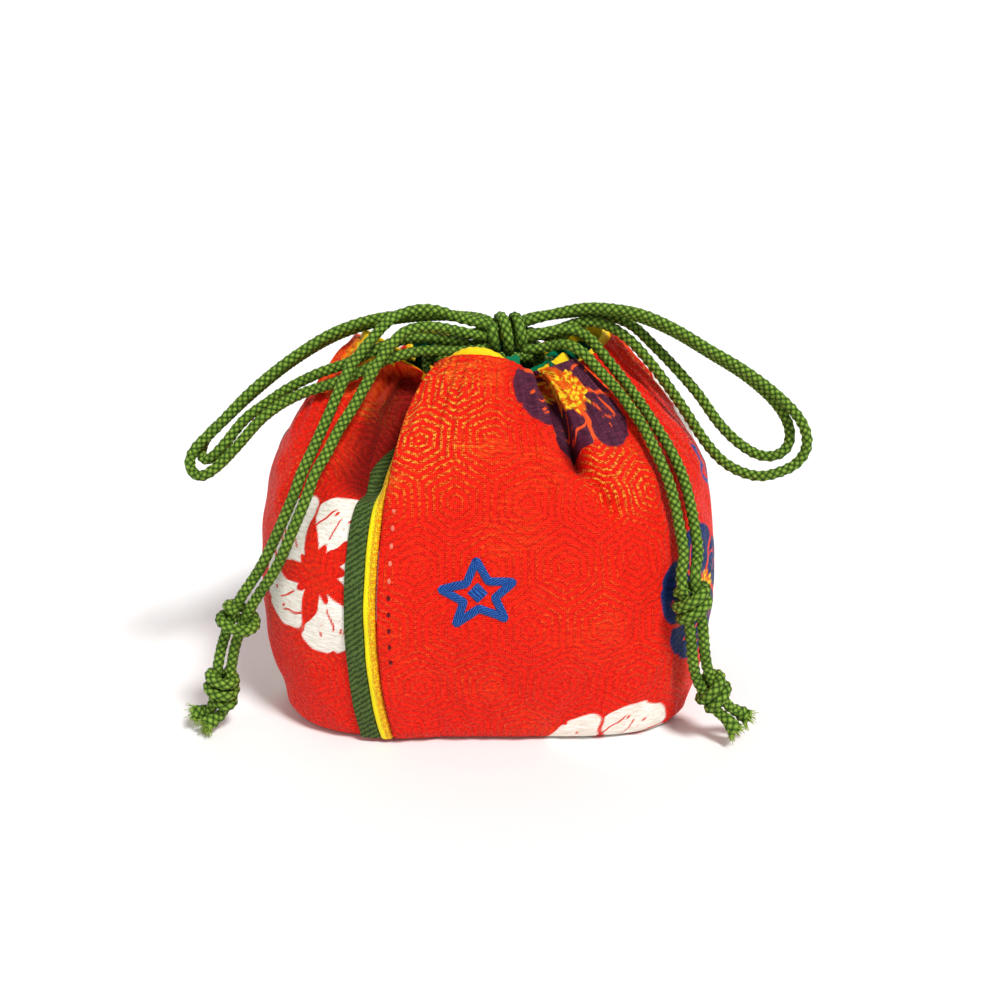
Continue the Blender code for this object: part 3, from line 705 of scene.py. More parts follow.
def camellia() -> Effect:
    """Camellia seen from above: five broad petals with gaps and vein marks round a heart."""
    inputs = {"Vector": None, "X": 0.0, "Y": 0.0, "Radius": 17.0, "Turn": 0.0, "Heart": 0.42, "Points": 0.42}
    effect = Effect("camellia", inputs, ("Petals", "Lines", "Heart", "Stamens"))
    wires, given = effect.wires, effect.given
    away = wires.vector("SUBTRACT", given["Vector"], wires.join(given["X"], given["Y"]))
    wander = wires.math("SUBTRACT", wires.noise(away, 0.16, 1.0), 0.5)
    scaled = wires.vector("DIVIDE", away, wires.join(given["Radius"], given["Radius"], 1.0))
    x, y, _ = wires.split(scaled)
    reach = wires.math("SQRT", wires.math("ADD", wires.math("MULTIPLY", x, x), wires.math("MULTIPLY", y, y)))
    turned = wires.math("ADD", wires.math("ARCTAN2", y, x), given["Turn"])
    curled = wires.math("ADD", turned, wires.math("MULTIPLY", reach, 0.40))
    sector = wires.math("MULTIPLY", wires.math("MULTIPLY_ADD", wander, 0.35, curled), 5 / (2 * math.pi))
    share = wires.math("SUBTRACT", wires.math("FRACT", sector), 0.5)
    aside = wires.math("ABSOLUTE", share)
    width = wires.math("MULTIPLY", reach, 2 * math.pi / 5)
    rounded = wires.math("COSINE", wires.math("MULTIPLY", share, math.pi))
    notch = wires.ramp(aside, 0.0, 0.08, 0.035, 0.0)
    crown = wires.math("MULTIPLY_ADD", wires.math("POWER", rounded, 0.55), 0.24, 0.77)
    outline = wires.math("SUBTRACT", crown, notch)
    inside = wires.ramp(wires.math("SUBTRACT", outline, reach), -0.012, 0.012)
    spikes = wires.math("MULTIPLY", wires.math("POWER", wires.math("SUBTRACT", 1.0, rounded), 2.0), given["Points"])
    scallop = wires.math("ABSOLUTE", wires.math("SINE", wires.math("MULTIPLY", sector, 3 * math.pi)))
    spikes = wires.math("MULTIPLY_ADD", scallop, 0.09, spikes)
    uneven = wires.math("SUBTRACT", spikes, wires.math("MULTIPLY_ADD", wander, 0.3, 0.05))
    heart_edge = wires.math("ADD", given["Heart"], uneven)
    heart = wires.ramp(wires.math("SUBTRACT", heart_edge, reach), -0.015, 0.015)
    gap = wires.ramp(wires.math("MULTIPLY", wires.math("SUBTRACT", 0.5, aside), width), 0.020, 0.042, 1.0, 0.0)
    rib_reach = wires.math("MULTIPLY", wires.ramp(reach, 0.42, 0.46), wires.ramp(reach, 0.70, 0.74, 1.0, 0.0))
    rib = wires.math("MULTIPLY", wires.ramp(wires.math("MULTIPLY", aside, width), 0.006, 0.020, 1.0, 0.0), rib_reach)
    beside = wires.math("ABSOLUTE", wires.math("SUBTRACT", wires.math("MULTIPLY", aside, width), 0.12))
    dash = wires.math("SINE", wires.math("MULTIPLY", reach, 44.0))
    dashes = wires.math("MULTIPLY", wires.ramp(beside, 0.012, 0.026, 1.0, 0.0), wires.ramp(dash, 0.1, 0.5))
    window = wires.math("MULTIPLY", wires.ramp(reach, 0.60, 0.66), wires.ramp(reach, 0.82, 0.86, 1.0, 0.0))
    dashes = wires.math("MULTIPLY", dashes, window)
    slanted = wires.math("ADD", reach, wires.math("MULTIPLY", share, 0.9))
    fold = wires.math("ABSOLUTE", wires.math("SUBTRACT", slanted, 0.94))
    curl = wires.math("MULTIPLY", wires.ramp(fold, 0.014, 0.032, 1.0, 0.0), wires.ramp(share, 0.14, 0.20))
    lines = wires.math("MAXIMUM", wires.math("MAXIMUM", gap, rib), wires.math("MAXIMUM", dashes, curl))
    dots = wires.node("ShaderNodeTexVoronoi", feature="F1")
    dots.inputs["Scale"].default_value = 0.72
    wires.put(wires.vector("MULTIPLY", away, (0.8, 1.3, 1.0)), dots.inputs["Vector"])
    stamens = wires.math("MULTIPLY", wires.ramp(dots.outputs["Distance"], 0.38, 0.54, 1.0, 0.0), heart)
    petals = wires.math("MULTIPLY", inside, wires.math("SUBTRACT", 1.0, heart))
    wires.put(petals, effect.result["Petals"])
    wires.put(wires.math("MULTIPLY", lines, petals), effect.result["Lines"])
    wires.put(heart, effect.result["Heart"])
    wires.put(stamens, effect.result["Stamens"])
    return effect


def bellflower() -> Effect:
    """Five-pointed bellflower drawn as an outline with a small diamond in its middle."""
    inputs = {"Vector": None, "X": 0.0, "Y": 0.0, "Radius": 9.0, "Turn": 0.0}
    effect = Effect("bellflower", inputs, ("Outline",))
    wires, given = effect.wires, effect.given
    away = wires.vector("SUBTRACT", given["Vector"], wires.join(given["X"], given["Y"]))
    scaled = wires.vector("DIVIDE", away, wires.join(given["Radius"], given["Radius"], 1.0))
    x, y, _ = wires.split(scaled)
    reach = wires.math("SQRT", wires.math("ADD", wires.math("MULTIPLY", x, x), wires.math("MULTIPLY", y, y)))
    turned = wires.math("ADD", wires.math("ARCTAN2", y, x), given["Turn"])
    share = wires.math("SUBTRACT", wires.math("FRACT", wires.math("MULTIPLY", turned, 5 / (2 * math.pi))), 0.5)
    narrowing = wires.math("POWER", wires.math("ABSOLUTE", share), 0.8)
    edge = wires.math("SUBTRACT", 0.93, wires.math("MULTIPLY", narrowing, 0.88))
    line = wires.ramp(wires.math("ABSOLUTE", wires.math("SUBTRACT", reach, edge)), 0.09, 0.13, 1.0, 0.0)
    middle = wires.ramp(wires.math("ADD", wires.math("ABSOLUTE", x), wires.math("ABSOLUTE", y)), 0.20, 0.24, 1.0, 0.0)
    wires.put(wires.math("MAXIMUM", line, middle), effect.result["Outline"])
    return effect


def braid_strands() -> Effect:
    """Strands of a round braid: the vector's X is turns round the cord, and its Y millimetres along it."""
    effect = Effect("braid_strands", {"Vector": None, "Strands": 4.0, "Lay": 1.6}, ("Height", "Yarn"))
    wires, given = effect.wires, effect.given
    around, along, _ = wires.split(given["Vector"])
    turns = wires.math("MULTIPLY", around, given["Strands"])
    climb = wires.math("DIVIDE", along, given["Lay"])
    one, two = wires.math("ADD", turns, climb), wires.math("SUBTRACT", turns, climb)
    cells = wires.math("ADD", wires.math("FLOOR", one), wires.math("FLOOR", two))
    under = wires.math("MULTIPLY", wires.math("FRACT", wires.math("MULTIPLY", cells, 0.5)), 2.0)
    parts = [wires.math("FRACT", one), wires.math("FRACT", two)]
    over = wires.math("SUBTRACT", 1.0, under)
    across = wires.math("ADD", wires.math("MULTIPLY", parts[0], over), wires.math("MULTIPLY", parts[1], under))
    length = wires.math("ADD", wires.math("MULTIPLY", parts[1], over), wires.math("MULTIPLY", parts[0], under))
    crown = wires.math("POWER", wires.math("SINE", wires.math("MULTIPLY", across, math.pi)), 0.8)
    bow = wires.math("MULTIPLY_ADD", wires.math("SINE", wires.math("MULTIPLY", length, math.pi)), 0.68, 0.32)
    yarn = wires.math("SINE", wires.math("MULTIPLY", wires.math("MULTIPLY_ADD", length, 0.35, across), 8 * math.pi))
    wires.put(wires.math("MULTIPLY", crown, bow), effect.result["Height"])
    wires.put(wires.ramp(yarn, -1.0, 1.0), effect.result["Yarn"])
    return effect


def twill_lines() -> Effect:
    """Slanting ribs of a twill, a little uneven."""
    effect = Effect("twill_lines", {"Vector": None, "Pitch": 0.8, "Slope": 1.0}, ("Height",))
    wires, given = effect.wires, effect.given
    x, y, _ = wires.split(given["Vector"])
    wander = wires.math("MULTIPLY", wires.noise(given["Vector"], 0.9), 1.1)
    run = wires.math("MULTIPLY_ADD", x, given["Slope"], y)
    turns = wires.math("ADD", wires.math("DIVIDE", run, given["Pitch"]), wander)
    wave = wires.math("SINE", wires.math("MULTIPLY", turns, 2 * math.pi))
    wires.put(wires.ramp(wave, -0.8, 0.9), effect.result["Height"])
    return effect


class Effects:
    """Every shared effect, built the first time that it is asked for."""

    def __init__(self) -> None:
        """Builds the groups."""
        self.weave = crossed_weave()
        self.tortoiseshell = tortoiseshell()
        self.camellia = camellia()
        self.bellflower = bellflower()
        self.strands = braid_strands()
        self.twill = twill_lines()


class Bloom(Enum):
    """Colours of a camellia: petals, shaded petals, lines, heart and stamens."""

    WHITE = ((250, 245, 236), (228, 219, 204), (214, 40, 18), (235, 34, 10), (235, 34, 10))
    PURPLE = ((92, 34, 58), (58, 18, 40), (240, 84, 30), (240, 100, 14), (255, 222, 40))
    GOLD = ((250, 92, 22), (226, 44, 8), (214, 20, 6), (246, 120, 16), (255, 222, 40))
    NAVY = ((26, 52, 110), (12, 28, 70), (232, 60, 30), (240, 100, 14), (255, 222, 40))


@dataclass(frozen=True)
class Flower:
    """One camellia of the brocade, in the cloth's own millimetres."""

    bloom: Bloom
    x: float
    y: float
    radius: float = 17.0
    turn: float = 0.0
    heart: float = 0.42


@dataclass(frozen=True)
class BrocadeFinish:
    """Red silk brocade with a tone-on-tone tortoiseshell ground, camellias, bellflowers, spots of painted highlight
    and painted shade in the deep folds.
    """

    effects: Effects
    flowers: tuple[Flower, ...]
    stars: tuple[tuple[float, float], ...]
    star_radius: float = 8.0
    red: Colour = (246, 28, 0)
    deep_red: Colour = (206, 6, 0)
    bright_red: Colour = (255, 46, 4)
    orange: Colour = (255, 104, 16)
    # Colour of the painted highlight's gold grains.
    gold: Colour = (255, 184, 60)
    # Painted highlight spots: centres in cloth millimetres and radii.
    painted_highlight_spots: tuple[tuple[tuple[float, float], float], ...] = (
        ((6.0, 74.0), 30.0), ((55.0, 58.0), 13.0), ((296.0, 80.0), 12.0), ((120.0, 74.0), 20.0), ((200.0, 62.0), 18.0),
    )
    blue: Colour = (24, 74, 150)
    # Painted shade: colour multiplied into the cloth in the deep folds.
    painted_fold_shade_colour: Colour = (150, 120, 130)
    cell: float = 15.4
    rings: float = 5.0
    roughness: float = 0.5

    def ground(self, wires: Wires, place: bpy.types.NodeSocket, weave: bpy.types.NodeSocket,
               ) -> tuple[bpy.types.NodeSocket, bpy.types.NodeSocket]:
        """Colour and height of the ground between the motifs.

        Args:
            wires: the material's tree.
            place: cloth coordinates in millimetres.
            weave: height of the plain weave.

        Returns:
            The colour, and the height of its relief.
        """
        crepe = wires.noise(wires.vector("MULTIPLY", place, (1.0, 1.4, 1.0)), 1.15, 2.0, 0.6)
        cells = self.effects.tortoiseshell.place(wires, Vector=place, Cell=self.cell, Rings=self.rings)
        grains = wires.ramp(wires.math("MULTIPLY_ADD", weave, 0.2, crepe), 0.54, 0.72, 0.05, 1.0)
        line = wires.math("MULTIPLY", cells["Line"], grains)
        floats = wires.noise(wires.vector("MULTIPLY", place, (0.13, 1.5, 1.0)), 1.1, 2.0, 0.6)
        drift = wires.noise(wires.vector("MULTIPLY", place, (0.8, 1.1, 1.0)), 0.06, 1.0)
        leaf = wires.ramp(drift, 0.53, 0.57, 0.0, 0.55)
        relief = wires.node("ShaderNodeMix", data_type="FLOAT")
        for value, socket in zip((leaf, line, wires.ramp(floats, 0.42, 0.66)), (0, 2, 3)):
            wires.put(value, relief.inputs[socket])
        raised = relief.outputs[0]
        # Painted highlight: a random tone over the cloth rises to full strength in the set spots and turns the raised
        # lines orange and gold there.
        random_tone_and_painted_highlight = wires.ramp(wires.noise(place, 0.05, 2.0), 0.42, 0.62, 0.05, 0.25)
        for spot, size in self.painted_highlight_spots:
            away = wires.vector("DISTANCE", place, (*spot, 0.0), number=True)
            random_tone_and_painted_highlight = wires.math("MAXIMUM", random_tone_and_painted_highlight, wires.ramp(away, size * 0.3, size, 1.0, 0.0))
        colour = wires.mix(wires.ramp(crepe, 0.30, 0.60), linear(self.deep_red), linear(self.red))
        colour = wires.mix(wires.math("MULTIPLY", raised, 0.55), colour, linear(self.bright_red))
        colour = wires.mix(wires.math("MULTIPLY", raised, random_tone_and_painted_highlight), colour, linear(self.orange))
        # Gold grains of painted highlight, almost only inside the spots.
        painted_highlight_grains = wires.math("MULTIPLY", wires.ramp(crepe, 0.44, 0.62), wires.math("MULTIPLY", raised, random_tone_and_painted_highlight))
        painted_gold_highlight = wires.math("MULTIPLY", painted_highlight_grains, wires.math("MULTIPLY", random_tone_and_painted_highlight, 0.9))
        colour = wires.mix(painted_gold_highlight, colour, linear(self.gold))
        height = wires.math("MULTIPLY_ADD", line, 0.55, wires.math("MULTIPLY", crepe, 0.75))
        return colour, height

    def nearest_flower(self, wires: Wires, flat: bpy.types.NodeSocket,
                       ) -> tuple[bpy.types.NodeSocket, bpy.types.NodeSocket]:
        """The flower that a point of the cloth lies in.

        Args:
            wires: the material's tree.
            flat: cloth coordinates in millimetres.

        Returns:
            Two vectors: the flower's centre with its kind, and its radius, turn and heart.
        """
        kinds = list(Bloom)
        centre, form = wires.join(-1000.0, -1000.0, 0.0), wires.join(1.0, 0.0, 0.4)
        least: object = 1.12
        for flower in self.flowers:
            away = wires.vector("DISTANCE", flat, (flower.x, flower.y, 0.0), number=True)
            away = wires.math("DIVIDE", away, flower.radius)
            near = wires.math("LESS_THAN", away, least)
            least = wires.math("MINIMUM", away, least)
            centre = wires.choose(near, centre, (flower.x, flower.y, float(kinds.index(flower.bloom))))
            form = wires.choose(near, form, (flower.radius, flower.turn, flower.heart))
        return centre, form

    def make(self) -> bpy.types.Material:
        """The material."""
        material, wires, shader = new_material("red_brocade", self.roughness, Sheen.COTTON)
        flat = cloth_map(wires)
        weave = self.effects.weave.place(wires, Vector=flat, Pitch=0.42, Unevenness=0.5)
        ragged = wires.math("MULTIPLY", wires.math("SUBTRACT", weave["Height"], 0.5), 0.35)
        place = wires.vector("ADD", flat, wires.join(ragged, ragged))
        colour, height = self.ground(wires, flat, weave["Height"])
        threads = wires.noise(wires.vector("MULTIPLY", flat, (0.35, 2.6, 1.0)), 1.0, 2.0, 0.6)
        centre, form = self.nearest_flower(wires, flat)
        x, y, kind = wires.split(centre)
        radius, turn, heart = wires.split(form)
        points = wires.ramp(kind, 0.4, 0.6, 0.42, 0.05)
        made = self.effects.camellia.place(wires, Vector=place, X=x, Y=y, Radius=radius, Turn=turn, Heart=heart,
                                           Points=points)
        kinds = [wires.math("COMPARE", kind, float(index), 0.4) for index in range(1, len(Bloom))]
        parts = []
        for part in range(5):
            chosen = linear(Bloom.WHITE.value[part])
            for mask, bloom in zip(kinds, list(Bloom)[1:]):
                chosen = wires.mix(mask, chosen, linear(bloom.value[part]))
            parts.append(chosen)
        petal, shade, line, heart_colour, stamen = parts
        colour = wires.mix(made["Petals"], colour, wires.mix(wires.ramp(threads, 0.35, 0.65), shade, petal))
        colour = wires.mix(made["Lines"], colour, line)
        dotted = wires.ramp(kind, 0.4, 0.6)
        colour = wires.mix(wires.math("MULTIPLY", made["Heart"], dotted), colour, heart_colour)
        colour = wires.mix(wires.math("MULTIPLY", made["Stamens"], dotted), colour, stamen)
        spot = wires.join(-1000.0, -1000.0, 0.0)
        for x, y in self.stars:
            away = wires.vector("DISTANCE", flat, (x, y, 0.0), number=True)
            spot = wires.choose(wires.math("LESS_THAN", away, self.star_radius * 1.2), spot, (x, y, 0.0))
        x, y, _ = wires.split(spot)
        star = self.effects.bellflower.place(
                wires, Vector=place, X=x, Y=y, Radius=self.star_radius, Turn=0.31)["Outline"]
        colour = wires.mix(star, colour, linear(self.blue))
        # Painted shade in the deep folds: the mask darkens the cloth's colour there, beside the folds' own shading.
        painted_fold_shade_mask = wires.node("ShaderNodeAttribute", attribute_name="painted_fold_shade_mask").outputs["Fac"]
        shaded = wires.mix(1.0, colour, linear(self.painted_fold_shade_colour), "MULTIPLY")
        wires.put(wires.mix(painted_fold_shade_mask, colour, shaded), shader.inputs["Base Color"])
        wires.put(wires.ramp(height, 0.2, 1.2, 0.62, 0.42), shader.inputs["Roughness"])
        total = wires.math("MULTIPLY_ADD", weave["Height"], 0.22, height)
        flattened = wires.ramp(made["Petals"], 0.0, 1.0, 1.0, 0.35)
        bump(wires, shader, total, 0.38, flattened)
        return material


@dataclass(frozen=True)
class BaseFinish:
    """Plain red cloth stretched over the base board."""

    effects: Effects
    light: Colour = (216, 34, 10)
    dark: Colour = (150, 10, 4)

    def make(self) -> bpy.types.Material:
        """The material."""
        material, wires, shader = new_material("base_cloth", 0.65, Sheen.COTTON)
        place = wires.vector("SCALE", wires.node("ShaderNodeTexCoord").outputs["Object"], None)
        place.node.inputs[3].default_value = 1 / MM
        weave = self.effects.weave.place(wires, Vector=place, Pitch=0.5, Unevenness=0.5)["Height"]
        rubbed = wires.noise(place, 0.12, 3.0)
        share = wires.math("MULTIPLY", weave, wires.ramp(rubbed, 0.3, 0.7, 0.5, 1.0))
        wires.put(wires.mix(share, linear(self.dark), linear(self.light)), shader.inputs["Base Color"])
        wires.put(wires.ramp(rubbed, 0.3, 0.7, 0.72, 0.55), shader.inputs["Roughness"])
        bump(wires, shader, weave, 0.10)
        return material


@dataclass(frozen=True)
class BraidFinish:
    """Green cord: painted highlight on the strands' crowns, painted shade in the gaps between the strands, and fine
    yarns.
    """

    effects: Effects
    light: Colour = (158, 190, 72)
    middle: Colour = (92, 128, 38)
    dark: Colour = (40, 60, 14)

    def make(self) -> bpy.types.Material:
        """The material."""
        material, wires, shader = new_material("green_braid", 0.5, Sheen.COTTON)
        place = cloth_map(wires)
        made = self.effects.strands.place(wires, Vector=place)
        mottle = wires.noise(wires.vector("MULTIPLY", place, (6.0, 1.0, 1.0)), 0.8, 2.0)
        # Painted shade in the gaps between the strands, and painted highlight on their crowns, mottled at random.
        colour = wires.mix(wires.ramp(made["Height"], 0.12, 0.52), linear(self.dark), linear(self.middle))
        crown = wires.math("MULTIPLY", wires.ramp(made["Height"], 0.58, 0.96), wires.ramp(mottle, 0.3, 0.7, 0.5, 1.0))
        colour = wires.mix(crown, colour, linear(self.light))
        yarn = wires.math("MULTIPLY", wires.math("SUBTRACT", 1.0, made["Yarn"]), 0.35)
        colour = wires.mix(yarn, colour, linear(self.dark))
        wires.put(colour, shader.inputs["Base Color"])
        wires.put(wires.ramp(made["Height"], 0.3, 1.0, 0.75, 0.45), shader.inputs["Roughness"])
        bump(wires, shader, wires.math("MULTIPLY_ADD", made["Yarn"], 0.25, made["Height"]), 0.18)
        return material


@dataclass(frozen=True)
class TwillFinish:
    """Cotton band with slanting ribs."""

    effects: Effects
    name: str
    light: Colour
    dark: Colour
    pitch: float = 0.85
    slope: float = 0.9
    depth: float = 0.16
    roughness: float = 0.7

    def make(self) -> bpy.types.Material:
        """The material."""
        material, wires, shader = new_material(self.name, self.roughness, Sheen.COTTON)
        place = cloth_map(wires)
        ribs = self.effects.twill.place(wires, Vector=place, Pitch=self.pitch, Slope=self.slope)["Height"]
        weave = self.effects.weave.place(wires, Vector=place, Pitch=0.3, Unevenness=0.6)["Height"]
        fleck = wires.noise(wires.vector("MULTIPLY", place, (1.0, 0.6, 1.0)), 2.2, 2.0, 0.7)
        ribbed = wires.math("MULTIPLY_ADD", ribs, 0.45, wires.math("MULTIPLY", fleck, 0.7))
        share = wires.ramp(wires.math("MULTIPLY_ADD", weave, 0.15, ribbed), 0.25, 0.95)
        wires.put(wires.mix(share, linear(self.dark), linear(self.light)), shader.inputs["Base Color"])
        wires.put(wires.ramp(fleck, 0.3, 0.7, self.roughness + 0.1, self.roughness - 0.1), shader.inputs["Roughness"])
        bump(wires, shader, wires.math("MULTIPLY_ADD", weave, 0.35, ribs), self.depth)
        return material


@dataclass(frozen=True)
class WeltFinish:
    """Rolled yellow edge: smooth along its outer side, with small orange loops beside the brocade."""

    effects: Effects
    smooth_side: Colour = (255, 236, 16)
    loops: Colour = (255, 214, 12)
    between: Colour = (250, 156, 4)

    def make(self) -> bpy.types.Material:
        """The material."""
        material, wires, shader = new_material("yellow_rolled_edge", 0.48, Sheen.SILK)
        place = cloth_map(wires)
        across, _, _ = wires.split(place)
        crumbs = wires.noise(wires.vector("MULTIPLY", place, (1.2, 0.9, 1.0)), 1.5, 2.0, 0.6)
        weave = self.effects.weave.place(wires, Vector=place, Pitch=0.34, Unevenness=0.5)["Height"]
        looped = wires.ramp(wires.math("MULTIPLY_ADD", weave, 0.15, crumbs), 0.50, 0.66)
        rolled = wires.ramp(wires.math("MULTIPLY_ADD", crumbs, 0.8, across), 1.45, 1.85, 1.0, 0.0)
        mixed = wires.mix(looped, linear(self.between), linear(self.loops))
        wires.put(wires.mix(rolled, mixed, linear(self.smooth_side)), shader.inputs["Base Color"])
        wires.put(wires.ramp(crumbs, 0.3, 0.7, 0.6, 0.42), shader.inputs["Roughness"])
        height = wires.math("MULTIPLY", looped, wires.math("SUBTRACT", 1.0, rolled))
        bump(wires, shader, wires.math("MULTIPLY_ADD", weave, 0.25, height), 0.22)
        return material


@dataclass(frozen=True)
class SatinFinish:
    """Smooth satin with long, fine threads."""

    effects: Effects
    name: str
    light: Colour
    dark: Colour
    roughness: float = 0.34

    def make(self) -> bpy.types.Material:
        """The material."""
        material, wires, shader = new_material(self.name, self.roughness, Sheen.SILK)
        place = cloth_map(wires)
        threads = wires.noise(wires.vector("MULTIPLY", place, (3.6, 0.3, 1.0)), 1.3, 3.0, 0.6)
        weave = self.effects.weave.place(wires, Vector=place, Pitch=0.28, Unevenness=0.4)["Height"]
        wires.put(wires.mix(threads, linear(self.dark), linear(self.light)), shader.inputs["Base Color"])
        gloss = wires.ramp(threads, 0.3, 0.7, self.roughness + 0.1, self.roughness - 0.06)
        wires.put(gloss, shader.inputs["Roughness"])
        bump(wires, shader, wires.math("MULTIPLY_ADD", weave, 0.4, threads), 0.06)
        return material


@dataclass(frozen=True)
class ThreadFinish:
    """Glossy thread of a stitch or a raised motif, with its plies."""

    effects: Effects
    name: str
    light: Colour
    dark: Colour
    pitch: float = 0.5
    slope: float = 0.6

    def make(self) -> bpy.types.Material:
        """The material."""
        material, wires, shader = new_material(self.name, 0.4, Sheen.SILK)
        place = cloth_map(wires)
        plies = self.effects.twill.place(wires, Vector=place, Pitch=self.pitch, Slope=self.slope)["Height"]
        fleck = wires.noise(place, 1.6, 2.0)
        share = wires.math("MULTIPLY", plies, wires.ramp(fleck, 0.3, 0.7, 0.5, 1.0))
        wires.put(wires.mix(share, linear(self.dark), linear(self.light)), shader.inputs["Base Color"])
        wires.put(wires.ramp(fleck, 0.3, 0.7, 0.5, 0.32), shader.inputs["Roughness"])
        bump(wires, shader, plies, 0.10)
        return material


FLOWERS = (
    Flower(Bloom.WHITE, 302.5, 36.5, 17.5, 0.35, 0.34),
    Flower(Bloom.PURPLE, 54.0, 81.5, 18.0, 2.5, 0.36),
    Flower(Bloom.PURPLE, 45.5, 84.0, 17.5, 2.9, 0.22),
    Flower(Bloom.NAVY, 73.5, 28.5, 15.0, 1.2, 0.28),
    Flower(Bloom.WHITE, 53.0, -9.0, 17.0, 0.3, 0.24),
    Flower(Bloom.GOLD, 287.0, 86.5, 13.5, 0.8, 0.42),
    Flower(Bloom.WHITE, 120.0, 60.0, 16.5, 1.9, 0.32),
    Flower(Bloom.PURPLE, 113.0, 14.0, 16.0, 0.7, 0.34),
    Flower(Bloom.GOLD, 82.0, 84.0, 12.0, 0.1, 0.42),
    Flower(Bloom.NAVY, 140.0, 40.0, 15.5, 2.6, 0.32),
    Flower(Bloom.WHITE, 172.0, 22.0, 17.0, 1.1, 0.34),
    Flower(Bloom.PURPLE, 178.0, 66.0, 16.5, 0.0, 0.36),
    Flower(Bloom.NAVY, 212.0, 38.0, 15.5, 0.9, 0.32),
    Flower(Bloom.WHITE, 222.0, 78.0, 16.0, 2.4, 0.34),
    Flower(Bloom.PURPLE, 248.0, 54.0, 16.0, 1.5, 0.36),
    Flower(Bloom.WHITE, 263.0, 11.0, 17.0, 0.4, 0.34),
)
STARS = ((92.0, 50.0), (148.0, 76.0), (190.5, 46.0), (143.0, 12.0), (226.0, 10.0), (252.0, 84.0))


# Pieces


